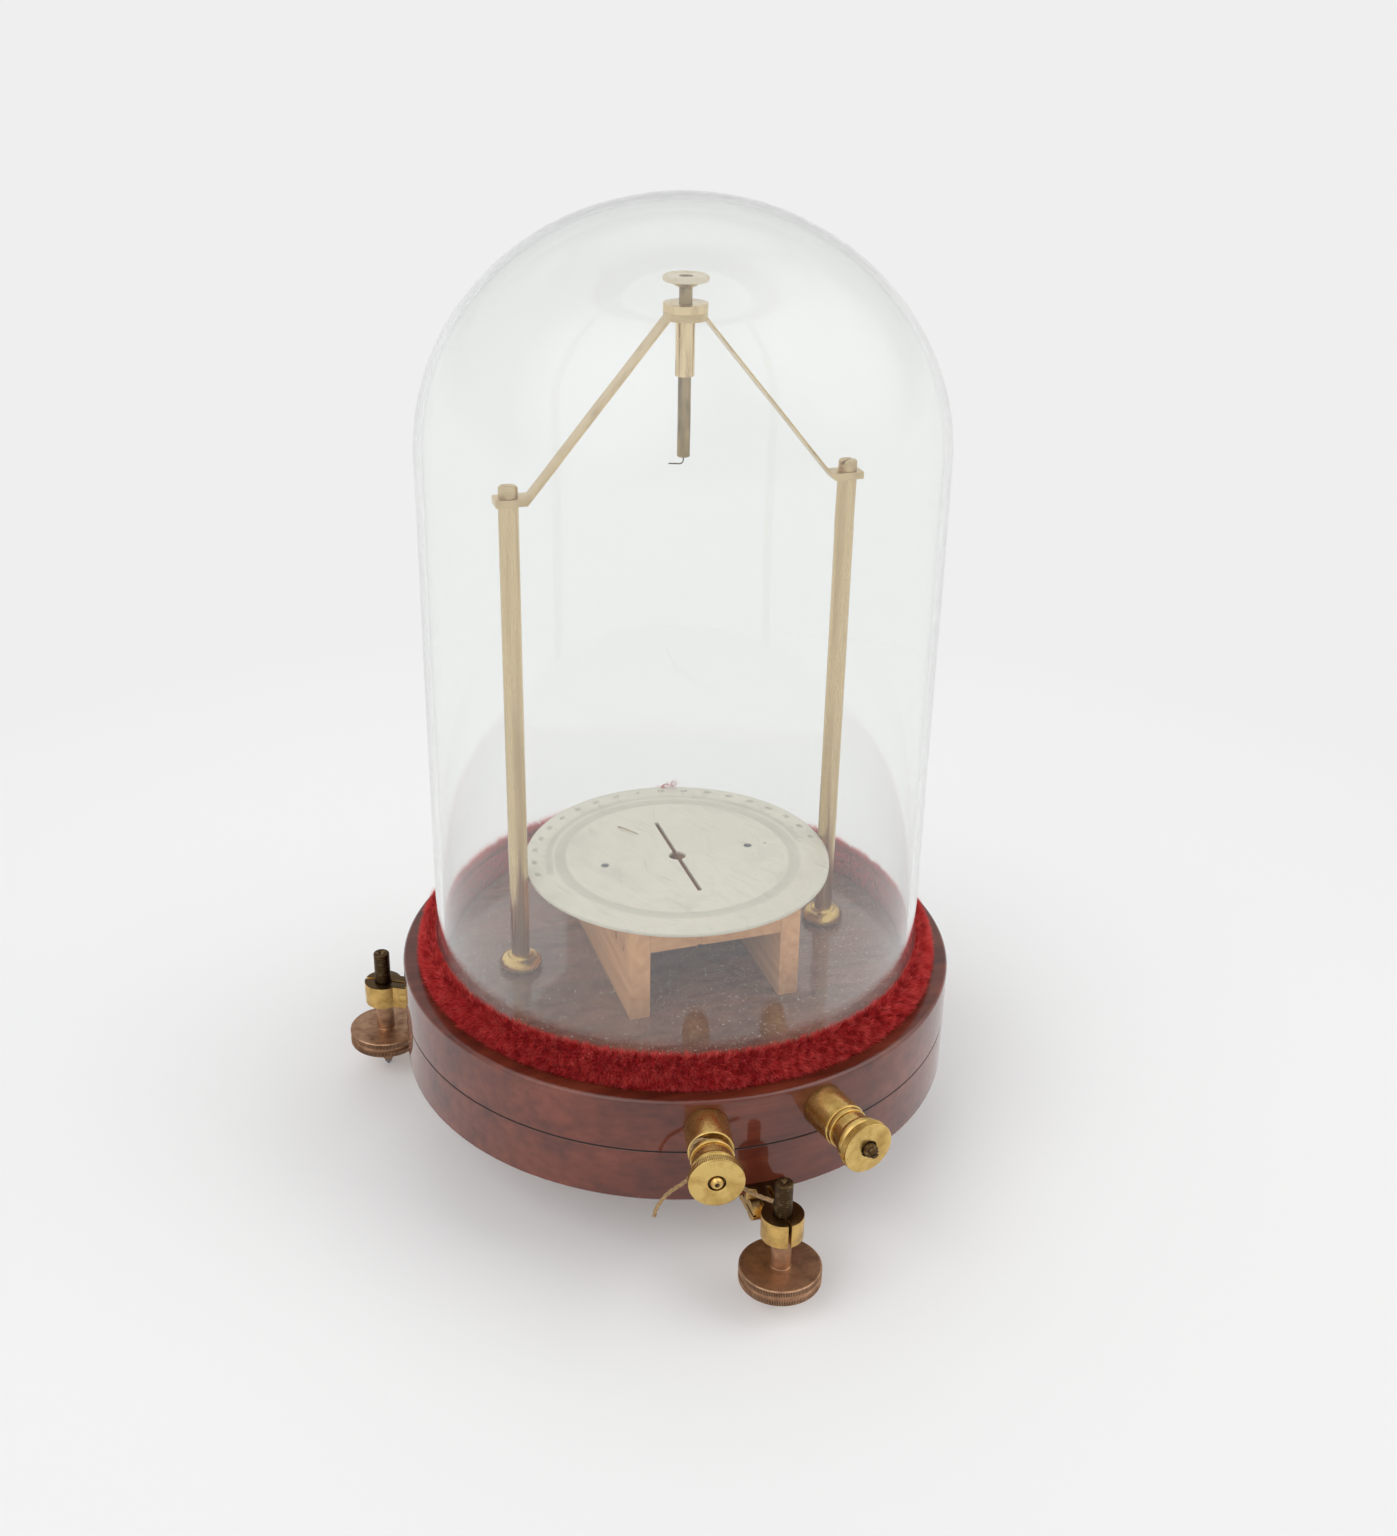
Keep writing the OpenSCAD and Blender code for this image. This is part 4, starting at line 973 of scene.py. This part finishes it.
class GALVANOMETER_OT_string(bpy.types.Operator):
    """Lays the two tails of string that are caught in the left terminal."""
    bl_idname = "galvanometer.string"
    bl_label = "String"

    def execute(self, context):
        _, out, across = terminal_ways("left")
        for side, route in (("left", STRING_LEFT), ("right", STRING_RIGHT)):
            line = [across * a + Vector((0, 0, term_z + up)) + out * (STRING_OUT + away)
                    for a, up, away in route]
            self.tail(side, smooth_line(line, 5))
        return {"FINISHED"}

    def tail(self, side, line):
        """Three plies laid round the line, loose at the cut end, with a few stray fibres."""
        draw = random.Random(len(side))
        frames = line_frames(line)
        travel = [0.0]
        for a, b in zip(line, line[1:]):
            travel.append(travel[-1] + (b - a).length)
        whole = travel[-1]
        bm = bmesh.new()
        for ply in range(3):
            strand, radii = [], []
            for (s, u), here, run in zip(frames, line, travel):
                a = 2 * math.pi * (run / PLY_LAY + ply / 3)
                loose = max(0.0, (run - whole + PLY_LOOSE) / PLY_LOOSE)
                strand.append(here + (s * math.cos(a) + u * math.sin(a)) * (PLY_OUT + 0.16 * loose))
                radii.append(PLY_R * (1 - 0.3 * loose) * (1 + 0.08 * math.sin(5 * run + ply)))
            swept_tube(bm, strand, radii, 8)
        for _ in range(STRAY_HAIRS):
            k = draw.randrange(2, len(line) - 3)
            s, u = frames[k]
            a = draw.uniform(0, 2 * math.pi)
            away = s * math.cos(a) + u * math.sin(a)
            ahead = (line[k + 1] - line[k]).normalized()
            reach = draw.uniform(0.5, 1.1)
            hair = [line[k] + away * 0.5, line[k] + away * (0.62 + 0.05 * reach) + ahead * reach * 0.5,
                    line[k] + away * (0.66 + 0.14 * reach) + ahead * reach]
            swept_tube(bm, smooth_line(hair, 3), [STRAY_R] * 7, 3)
        piece = from_bmesh(f"string_{side}", bm, "string", "base", "string", f"tie_string_{side}", sharp=70)


# Wooden base

class GALVANOMETER_OT_base(bpy.types.Operator):
    """Polishes the two mahogany discs and fills the seam between them with painted shade."""
    bl_idname = "galvanometer.base"
    bl_label = "Base"

    def execute(self, context):
        for node in ("base_upper_disc", "base_lower_disc"):
            piece = softened(f"{node}_polished", node, 0, "mahogany", "base", "mahogany")
            piece.data.set_sharp_from_angle(angle=math.radians(25))
        # A near-black ring in the seam's groove: painted shade
        bottom, lip, face = base_r - SEAM_CHAMFER, SEAM_CHAMFER - SEAM_FILL, base_r - SEAM_FILL - 0.02
        groove = [(bottom, seam_z), (face, seam_z - lip), (face, seam_z + lip)]
        turned("seam_painted_shade", groove, "seam", "base", "mahogany", sides=192, closed=True, sharp=80)
        return {"FINISHED"}


# Plush ring

PILE_PIECES = 8
# Width of the pile from its outer edge to its crest, and its lean, extra height at the back and clearances
PILE_CREST, PILE_LEAN, PILE_BACK = 5.0, 1.7, 0.8
PILE_CLEAR, RIM_IN, RIM_UP = 0.35, 1.2, 0.15


class GALVANOMETER_OT_plush(bpy.types.Operator):
    """Plants the crimson pile round the foot of the dome, in eighths over a dark core."""
    bl_idname = "galvanometer.plush"
    bl_label = "Plush ring"

    def execute(self, context):
        sizes = context.scene.galvanometer_sizes
        reach = sizes.fibre / MM
        crest = -plush_low.x - PILE_CREST
        core_r = crest + max(plush_high.x - crest - reach * 0.75, 1.0)
        rise = plush_high.z - top_z - reach * 0.8
        foot, wall_r = groove_z + 0.2, dome_r + 0.5
        angles = [math.radians(a) for a in range(0, 91, 10)]
        arc = [(crest + (core_r - crest) * math.cos(a), top_z - 0.6 + rise * math.sin(a)) for a in angles]
        wall = [(core_r, foot), *arc, (wall_r, arc[-1][1])]
        turned("plush_core", [(wall_r, foot), *wall], "pile core", "base", "crimson_plush", "plush_ring",
               sides=240, closed=True, sharp=60)
        tree = pile_tree()
        sweep = 360 / PILE_PIECES
        for k in range(PILE_PIECES):
            planted = turned_mesh([Vector(p) for p in wall[1:]], 30, start=sweep * k, sweep=sweep)
            planted.transform(METRES)
            area = sum(p.area for p in planted.polygons)
            grown(f"plush_pile_{k + 1}", planted, tree, {
                "Fibres": sizes.fibres / area, "Length": sizes.fibre, "Width": sizes.fibre_width,
                "Tuft": sizes.clump, "Lean": PILE_LEAN, "Taller back": PILE_BACK,
                "Glass radius": (dome_r + PILE_CLEAR) * MM, "Rim radius": (plush_high.x - RIM_IN) * MM,
                "Rim height": (top_z + RIM_UP) * MM, "Seed": k + 1}, "pile", "base", "crimson_plush")
        return {"FINISHED"}


# Glass dome. Its wall is uneven in waves of two sizes, each with its share

DOME_FOOT = 1.5
DOME_WAVES = ((34, 0.5), (13, 0.16))
DOME_UNEVEN = 0.16


class GALVANOMETER_OT_dome(bpy.types.Operator):
    """Blows the glass dome, with its ground foot and its slightly uneven wall."""
    bl_idname = "galvanometer.dome"
    bl_label = "Glass dome"

    def execute(self, context):
        spring = dome_top_z - CROWN_RISE
        heights = even(groove_z + DOME_FOOT, spring, 14)[:-1]
        walls = []
        for r, rise in ((dome_r, CROWN_RISE), (dome_r - DOME_WALL, CROWN_RISE - DOME_WALL)):
            crown = [Vector((r * math.cos(a), spring + rise * math.sin(a)))
                     for a in even(0, math.pi / 2, 44)]
            walls.append([Vector((r, z)) for z in heights] + crown[:-1] + [Vector((0, spring + rise))])
        outer, inner = walls
        foot = [(inner[0].x, groove_z + DOME_FOOT), (inner[0].x, groove_z, 0.7), (dome_r, groove_z, 0.7),
                (dome_r, groove_z + DOME_FOOT)]
        mesh = turned_mesh([*reversed(inner), *rounded(foot)[1:-1], *outer], 192)
        for vertex in mesh.vertices:
            spot = vertex.co
            away = Vector((spot.x, spot.y, max(spot.z - spring, 0)))
            uneven = sum(noise.noise(spot / size) * share for size, share in DOME_WAVES)
            vertex.co -= away.normalized() * DOME_UNEVEN * (uneven + 0.6)
        mesh.transform(METRES)
        settle(object_from("dome_glass", mesh, "glass", 60), "dome", "glass", "glass_dome")
        return {"FINISHED"}


# Dial

TICKS_IN, TICKS_SHORT, TICKS_STEP = 41.0, 2.0, 0.8
NUMBERS_AT = 46.4
INK_THICK = 0.04
# Lint on the dial: a tan fibre on its face, and where red fibres hang on its back edge
TAN_FIBRE = [(-13.1, 24.1, 0.2), (-11.8, 21.9, 0.5), (-10.3, 19.6, 0.5), (-8.2, 17.4, 0.2)]
RED_LINT = (11.7, 48.0)
LINT_HAIRS, LINT_R = 22, 0.07


class GALVANOMETER_OT_dial(bpy.types.Operator):
    """Engraves the silvered dial with its degrees, and seats its two screws."""
    bl_idname = "galvanometer.dial"
    bl_label = "Dial"

    def execute(self, context):
        sizes = context.scene.galvanometer_sizes
        softened("dial_plate", "dial", 0.12 * MM, "silvering", "base", "silvered_brass")
        grown("dial_ticks", bpy.data.meshes.new("ticks"), ticks_tree(), {
            "Degrees": 180, "Inner radius": TICKS_IN * MM, "Short": TICKS_SHORT * MM,
            "Step": TICKS_STEP * MM, "Width": sizes.tick, "Height": dial_z * MM,
            "Thickness": INK_THICK * MM}, "engraving", "base", "silvered_brass")
        settle(self.numbers(context, sizes.number), "base", "silvered_brass")
        softened("dial_screw_heads", "dial_screws", 0.1 * MM, "steel", "base", "aged_brass")
        self.lint()
        return {"FINISHED"}

    def lint(self):
        """One tan fibre on the face, and a pinch of red ones that hang on the back edge."""
        bm = bmesh.new()
        line = smooth_line([(x, y, dial_z + z) for x, y, z in TAN_FIBRE], 4)
        swept_tube(bm, line, [0.22 - 0.12 * k / len(line) for k in range(len(line))], 5)
        from_bmesh("dial_fibre", bm, "string", "base", "string")
        bm = bmesh.new()
        draw = random.Random(5)
        for _ in range(LINT_HAIRS):
            start = Vector((*RED_LINT, dial_z)) + Vector((draw.uniform(-3, 3), draw.uniform(-0.4, 0.5), 0))
            way = Vector((draw.uniform(-2.6, 2.6), draw.uniform(-0.3, 1.2), draw.uniform(0.2, 2.4)))
            curl = Vector((draw.uniform(-0.8, 0.8), 0, draw.uniform(-0.2, 0.7)))
            hair = smooth_line([start, start + way * 0.5 + curl, start + way], 3)
            swept_tube(bm, hair, [LINT_R] * len(hair), 3)
        from_bmesh("dial_lint", bm, "pile core", "base", "crimson_plush")

    def numbers(self, context, height):
        """Plain degree numbers, 90 to 0 to 90 round the back, their feet towards the centre."""
        bm = bmesh.new()
        for degrees in range(0, 181, 10):
            text = bpy.data.curves.new("number", "FONT")
            text.body = str(abs(90 - degrees))
            text.size = height * 1.35
            text.align_x = text.align_y = "CENTER"
            text.extrude = INK_THICK * MM / 2
            text.shear = 0.25
            text.resolution_u = 2
            holder = new_object("number", text)
            shape = holder.evaluated_get(context.evaluated_depsgraph_get())
            mesh = bpy.data.meshes.new_from_object(shape)
            bpy.data.objects.remove(holder)
            a = math.radians(degrees)
            place = Vector((NUMBERS_AT * MM * math.cos(a), NUMBERS_AT * MM * math.sin(a), dial_z * MM))
            mesh.transform(Matrix.Translation(place) @ Matrix.Rotation(a - math.pi / 2, 4, "Z"))
            bm.from_mesh(mesh)
            bpy.data.meshes.remove(mesh)
        return object_from("dial_numbers", new_mesh("numbers", bm), "engraving")


# Coil bench

class GALVANOMETER_OT_bench(bpy.types.Operator):
    """Planes the three boards of the coil bench."""
    bl_idname = "galvanometer.bench"
    bl_label = "Coil bench"

    def execute(self, context):
        edge = context.scene.galvanometer_sizes.edge
        for node in ("bench_board_left", "bench_board_right", "bench_top_board"):
            softened(f"{node}_wood", node, edge, "fruitwood", "base", "boxwood", segments=3)
        return {"FINISHED"}


# Gallows

# Turned profile of a pillar's foot: shares of its radius and of its height, and the rounding there
FOOT_PROFILE = ((0.8, 0, 0.2), (0.97, 0.14, 0.8), (1, 0.42, 1.2), (0.84, 0.78, 1.4), (0.58, 0.86, 0.2),
                (0.56, 0.94, 0.15))


class GALVANOMETER_OT_gallows(bpy.types.Operator):
    """Turns the pillars and their feet, and bends the brass strip over them."""
    bl_idname = "galvanometer.gallows"
    bl_label = "Gallows"

    def execute(self, context):
        edge = context.scene.galvanometer_sizes.metal_edge
        r, low, high = pillar_r, top_z - 4, pillar_high.z
        rod = [(0, low), *[(r, z) for z in even(low, high - 0.4, 12)], (r, high, 0.25), (0, high)]
        for side, x in (("left", -pillar_x), ("right", pillar_x)):
            place = Matrix.Translation((x, 0, 0))
            turned(f"pillar_rod_{side}", rod, "pillar", "base", "lacquered_brass", f"pillar_{side}",
                   sides=64, place=place)
            foot_low, foot_high = corners(f"pillar_foot_{side}")
            fr, z, h = (foot_high.x - foot_low.x) / 2, foot_low.z, foot_high.z - foot_low.z
            bead = [(r - 0.2, z), *[(fr * out, z + h * up, soft) for out, up, soft in FOOT_PROFILE],
                    (r + 0.5, z + h, 0.15), (r - 0.2, z + h)]
            turned(f"pillar_bead_{side}", bead, "polished", "base", "polished_brass",
                   f"pillar_foot_{side}", closed=True, place=place)
            softened(f"pillar_head_screw_{side}", f"pillar_screw_{side}", edge * 0.7, "lacquered", "base",
                     "lacquered_brass")
        softened("gallows_arms", "gallows_strip", edge * 1.2, "lacquered", "base", "lacquered_brass",
                 segments=3)
        return {"FINISHED"}


# Suspension

class GALVANOMETER_OT_suspension(bpy.types.Operator):
    """Turns the suspension's bush, rod and knob, and bends its hook."""
    bl_idname = "galvanometer.suspension"
    bl_label = "Suspension"

    def execute(self, context):
        edge = context.scene.galvanometer_sizes.metal_edge
        softened("bush_brass", "suspension_bush", edge * 0.8, "bush", "base", "lacquered_brass")
        low, high = corners("suspension_rod")
        r = high.x
        levels = even(low.z + 0.5, high.z - 0.5, 10)
        rod = [(0, low.z + 0.15), (r * 0.5, low.z), (r, low.z, 0.3), *[(r, z) for z in levels],
               (r, high.z, 0.3), (0, high.z)]
        turned("rod_brass", rod, "aged", "rod", "aged_brass", "suspension_rod", sides=48)
        bore = r + 0.05
        low, high = corners("suspension_knob")
        r, z, h = high.x, low.z, high.z - low.z
        knob = [(bore, z), (bore + 1.2, z, 0.25), (r * 0.62, z + h * 0.3, 1.4),
                (r - 0.2, z + h * 0.42, 0.3), (r, z + h * 0.5, 0.2), (r, z + h * 0.84, 0.35),
                (r * 0.9, z + h, 0.4), (r * 0.6, z + h * 0.88, 1.0), (bore, z + h * 0.86)]
        turned("knob_brass", knob, "knob", "knob", "lacquered_brass", "suspension_knob", closed=True)
        softened("hook_wire", "suspension_hook", 0, "dark", "knob", "aged_brass")
        return {"FINISHED"}


# Terminals

POST_BORE, WASHER_BORE, NUT_BORE = 2.2, 2.3, 2.15
NUT_FLANGE, NUT_BEAD, NUT_SWELL, NUT_FACE_CROWN, NUT_RECESS = 3.2, 3.6, 1.1, 0.18, 0.8
# Radius of the ball that ends the left stud
BALL_R = 2.1


class GALVANOMETER_OT_terminals(bpy.types.Operator):
    """Turns each terminal's post, stud, washer and knurled thumb nut."""
    bl_idname = "galvanometer.terminals"
    bl_label = "Terminals"

    def execute(self, context):
        sizes = context.scene.galvanometer_sizes
        for side in SIDES:
            turn, out, _ = terminal_ways(side)
            place = (Matrix.Translation((0, 0, term_z)) @ Matrix.Rotation(turn, 4, "Z")
                     @ Matrix.Rotation(math.pi / 2, 4, "Y"))

            def reach(node):
                """Where a turned node starts and ends along the axis, and its radius."""
                spots = [v.co / MM for v in frame["nodes"][f"{node}_{side}"].data.vertices]
                along = [spot.dot(out) for spot in spots]
                low, high = corners(f"{node}_{side}")
                return min(along), max(along), (high.z - low.z) / 2

            start, end, r = reach("terminal_post")
            levels = [(r, x) for x in even(start, end - 1, 24)]
            post = [(POST_BORE, start), *levels, (r, end, 0.45), (POST_BORE, end)]
            turned(f"post_{side}", post, "polished", "base", "polished_brass", f"terminal_post_{side}",
                   sides=120, closed=True, place=place)
            self.stud(side, place, *reach("terminal_stud"))
            start, end, r = reach("terminal_washer")
            ring = [(WASHER_BORE, start), (r, start, 0.3), (r, end, 0.3), (WASHER_BORE, end)]
            turned(f"washer_{side}", ring, "polished", f"washer_{side}", "polished_brass",
                   f"terminal_washer_{side}", closed=True, place=place)
            start, end, r = reach("terminal_nut")
            self.nut(side, place, start, end, r, sizes.nut_knurl / MM)
        return {"FINISHED"}

    def stud(self, side, place, start, end, r):
        if side == "right":
            softened("stud_right", "terminal_stud_right", 0.15 * MM, "dark", "base", "aged_brass")
            return
        middle = end - BALL_R * 0.9
        angles = [math.radians(a) for a in range(-60, 61, 10)]
        ball = [(BALL_R * math.cos(a), middle + BALL_R * math.sin(a)) for a in angles]
        tip = [(0, start), (r, start, 0.2), (r, middle - BALL_R, 0.2), *ball, (0.7, end - 0.15, 0.1),
               (0, end - 0.9)]
        turned("stud_left", tip, "polished", "base", "aged_brass", "terminal_stud_left", sides=64,
               place=place)
        dimple = [(0, end - 0.88), (0.68, end - 0.16), (0.68, end - 0.11), (0, end - 0.78)]
        turned("stud_dimple", dimple, "dark", "base", "aged_brass", sides=32, place=place)

    def nut(self, side, place, start, end, r, knurl):
        collar = r - 1.9
        flange = end - NUT_FLANGE
        bead = flange - NUT_BEAD
        teeth = round(2 * math.pi * r / knurl)
        swell = [(collar + NUT_SWELL * math.sin(a), bead + NUT_BEAD * (1 - math.cos(a)) / 2)
                 for a in even(0, math.pi, 8)[1:-1]]
        rows = [(r, x) for x in even(flange + 0.5, flange + NUT_FLANGE - 0.5, 6)]
        recess = end - NUT_RECESS
        profile = [(NUT_BORE, start), (collar - 0.1, start, 0.3), (collar, bead - 0.2, 0.2), *swell,
                   (collar + 0.1, flange, 0.1), (r - 0.4, flange + 0.05, 0.15), (r, flange + 0.4, 0.1),
                   *rows, (r, end - 0.4, 0.1), (r - 0.35, end - NUT_FACE_CROWN, 0.15),
                   (r * 0.55, end, 2.0), (2.6, end, 0.15), (2.55, recess, 0.1), (NUT_BORE, recess)]
        metal, depth = ("worn knurl", 0.09) if side == "left" else ("polished", 0.22)
        bands = (flange + 0.2, flange + 0.45, end - 0.6, end - 0.35)
        cut_teeth(f"thumb_nut_{side}", profile, metal, f"nut_{side}", "polished_brass",
                  f"terminal_nut_{side}", teeth=(teeth, depth, r - 0.25), bands=bands, place=place,
                  closed=True)
        # A near-black ring at the bottom of the nut's recess: painted shade
        low, high = recess - 0.02, recess + 0.1
        recess_shade = [(2.2, low), (2.52, low), (2.52, high), (2.2, high)]
        turned(f"nut_recess_painted_shade_{side}", recess_shade, "seam", f"nut_{side}", "aged_brass", sides=64, closed=True,
               place=place)


# Levelling feet. Heights are above the table

DISC_LOW, DISC_THICK, DISC_NECK, DISC_GROOVE = 10.6, 5.5, 0.8, 0.9
SPINDLE_R, DISC_COLLAR_R, DISC_COLLAR = 2.75, 3.1, 13
# Hole for the steel point, the cone round it, and the dimple in the spindle's top
HOLE_R, HOLE_DEEP, TIP_R, CONE_R, DIMPLE_R, DIMPLE_DEEP = 0.95, 4.6, 1.7, 5.0, 1.1, 0.8
THREAD_DEPTH, THREAD_STEPS = 0.09, 6


class GALVANOMETER_OT_feet(bpy.types.Operator):
    """Finishes each bracket, levelling screw, steel point and pinch screw."""
    bl_idname = "galvanometer.feet"
    bl_label = "Levelling feet"

    def execute(self, context):
        sizes = context.scene.galvanometer_sizes
        edge = sizes.metal_edge
        for side in FEET:
            for name, node, soft, material, body, slot, segments in (
                    ("bracket", "foot_bracket", edge * 1.3, "bracket", "base", "lacquered_brass", 3),
                    ("pinch", "pinch_screw", edge, "bracket", f"pinch_{side}", "aged_brass", 2),
                    ("point", "foot_point", 0.08 * MM, "steel", f"point_{side}", "steel", 2)):
                softened(f"{name}_{side}", f"{node}_{side}", soft, material, body, slot, segments)
            x, y, _ = (c / MM for c in JOINTS[f"foot_{side}_turn"]["pos_m"])
            self.screw(side, Matrix.Translation((x, y, 0)), sizes.disc_knurl / MM)
        return {"FINISHED"}

    def screw(self, side, place, knurl):
        """The disc with its two knurled bands, its collar, and the threaded spindle."""
        low, high = corners(f"levelling_screw_{side}")
        r = (high.x - low.x) / 2
        top = DISC_LOW + DISC_THICK
        neck = top + DISC_COLLAR
        teeth = round(2 * math.pi * r / knurl)
        band = (DISC_THICK - DISC_GROOVE) / 2

        def knurled(start, end):
            """One knurled band, with its two soft edges."""
            rows = [(r, x) for x in even(start + 0.1, end - 0.1, 4)]
            return [(r, start, 0.1), *rows, (r, end, 0.1)]

        head = [(0, low.z + HOLE_DEEP), (HOLE_R, low.z + HOLE_DEEP), (HOLE_R, low.z + 0.1),
                (TIP_R, low.z, 0.1), (CONE_R, DISC_LOW, 0.3), (r - 0.5, DISC_LOW, 0.15),
                *knurled(DISC_LOW + 0.35, DISC_LOW + band - 0.3), (r - DISC_NECK, DISC_LOW + band, 0.12),
                (r - DISC_NECK, top - band, 0.12), *knurled(top - band + 0.3, top - 0.35),
                (r - 0.45, top, 0.2), (r * 0.6, top, 0.1), (DISC_COLLAR_R, top, 0.3),
                (DISC_COLLAR_R, neck, 0.1), (0, neck)]
        bands = (DISC_LOW + 0.2, DISC_LOW + 0.4, top - 0.4, top - 0.2)
        cut_teeth(f"levelling_disc_{side}", head, "bronzed", f"screw_{side}", "bronzed_brass",
                  f"levelling_screw_{side}", teeth=(teeth, 0.2, r - 0.2), bands=bands, place=place)
        step = THREAD_PITCH / THREAD_STEPS
        count = int((high.z - 0.6 - (neck - 1)) / step)
        turns = [(SPINDLE_R, neck - 1 + step * k) for k in range(count)]
        rod = [(0, neck - 1), *turns, (SPINDLE_R, high.z - 0.3, 0.2), (SPINDLE_R - 0.4, high.z, 0.2),
               (DIMPLE_R, high.z, 0.1), (0.3, high.z - DIMPLE_DEEP), (0, high.z - DIMPLE_DEEP)]
        bands = (neck - 2, neck - 1.6, high.z - 0.6, high.z - 0.2)
        cut_teeth(f"levelling_thread_{side}", rod, "dark", f"screw_{side}", "aged_brass",
                  teeth=(1, THREAD_DEPTH, SPINDLE_R - 0.2), bands=bands, place=place, sides=36,
                  climb=2 * math.pi * per(THREAD_PITCH))


# Dust. Where it lies: the radius and height in millimetres, and the share of the specks

DUSTY = (("wood", dome_r - 4, top_z, 1.0), ("dial", dial_r - 1, dial_z, 0.03))


class GALVANOMETER_OT_dust(bpy.types.Operator):
    """Drops dust on the polished wood under the dome, and a little on the dial."""
    bl_idname = "galvanometer.dust"
    bl_label = "Dust"

    def execute(self, context):
        sizes = context.scene.galvanometer_sizes
        tree = dust_tree()
        for name, r, z, share in DUSTY:
            ground = turned_mesh([Vector((0, z)), Vector((r, z))], 48)
            ground.transform(METRES)
            area = sum(p.area for p in ground.polygons)
            grown(f"dust_on_{name}", ground, tree, {
                "Density": sizes.specks * share / area, "Size": sizes.speck, "Seed": 11},
                "dust", "base", "mahogany")
        return {"FINISHED"}


# Pieces that are drawn as packed

FASTENERS = ("base_screws", "bench_screws", "pillar_nuts", "tang_screws")
LEADS = ("lead_wire_left", "lead_wire_right")


class GALVANOMETER_OT_fasteners(bpy.types.Operator):
    """Gives the screws, nuts and leads on the underside their metal and cotton."""
    bl_idname = "galvanometer.fasteners"
    bl_label = "Fasteners and leads"

    def execute(self, context):
        for node in FASTENERS + LEADS:
            packed = frame["nodes"][node]
            if not packed.material_slots:
                packed.data.materials.append(None)
            for slot in packed.material_slots:
                slot.material = finish("covered wire" if node in LEADS else "aged")
        return {"FINISHED"}


class GALVANOMETER_PT_panel(bpy.types.Panel):
    """Sizes, colours and makers of the galvanometer."""
    bl_idname = "GALVANOMETER_PT_panel"
    bl_label = "Galvanometer"
    bl_space_type = "VIEW_3D"
    bl_region_type = "UI"
    bl_category = "Galvanometer"

    def draw(self, context):
        for group in (context.scene.galvanometer_sizes, context.scene.galvanometer_colours):
            for name in group.bl_rna.properties.keys():
                if name not in ("rna_type", "name"):
                    self.layout.prop(group, name)
        for maker in MAKERS:
            self.layout.operator(maker.bl_idname)


MAKERS = (GALVANOMETER_OT_stage, GALVANOMETER_OT_string, GALVANOMETER_OT_base, GALVANOMETER_OT_plush,
          GALVANOMETER_OT_dome, GALVANOMETER_OT_dial, GALVANOMETER_OT_bench, GALVANOMETER_OT_gallows,
          GALVANOMETER_OT_suspension, GALVANOMETER_OT_terminals, GALVANOMETER_OT_feet, GALVANOMETER_OT_dust,
          GALVANOMETER_OT_fasteners)
CLASSES = (GalvanometerColours, GalvanometerSizes, *MAKERS, GALVANOMETER_PT_panel)


def register():
    for each in CLASSES:
        bpy.utils.register_class(each)
    bpy.types.Scene.galvanometer_colours = PointerProperty(type=GalvanometerColours)
    bpy.types.Scene.galvanometer_sizes = PointerProperty(type=GalvanometerSizes)


def unregister():
    del bpy.types.Scene.galvanometer_sizes
    del bpy.types.Scene.galvanometer_colours
    for each in reversed(CLASSES):
        bpy.utils.unregister_class(each)


def main():
    register()
    for maker in MAKERS:
        group, name = maker.bl_idname.split(".")
        getattr(getattr(bpy.ops, group), name)()
    boxes = {"cad": CAD_BOX, "visual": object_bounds()}
    boxes = {name: [list(corner) for corner in box] for name, box in boxes.items()}


if __name__ == "__main__":
    main()
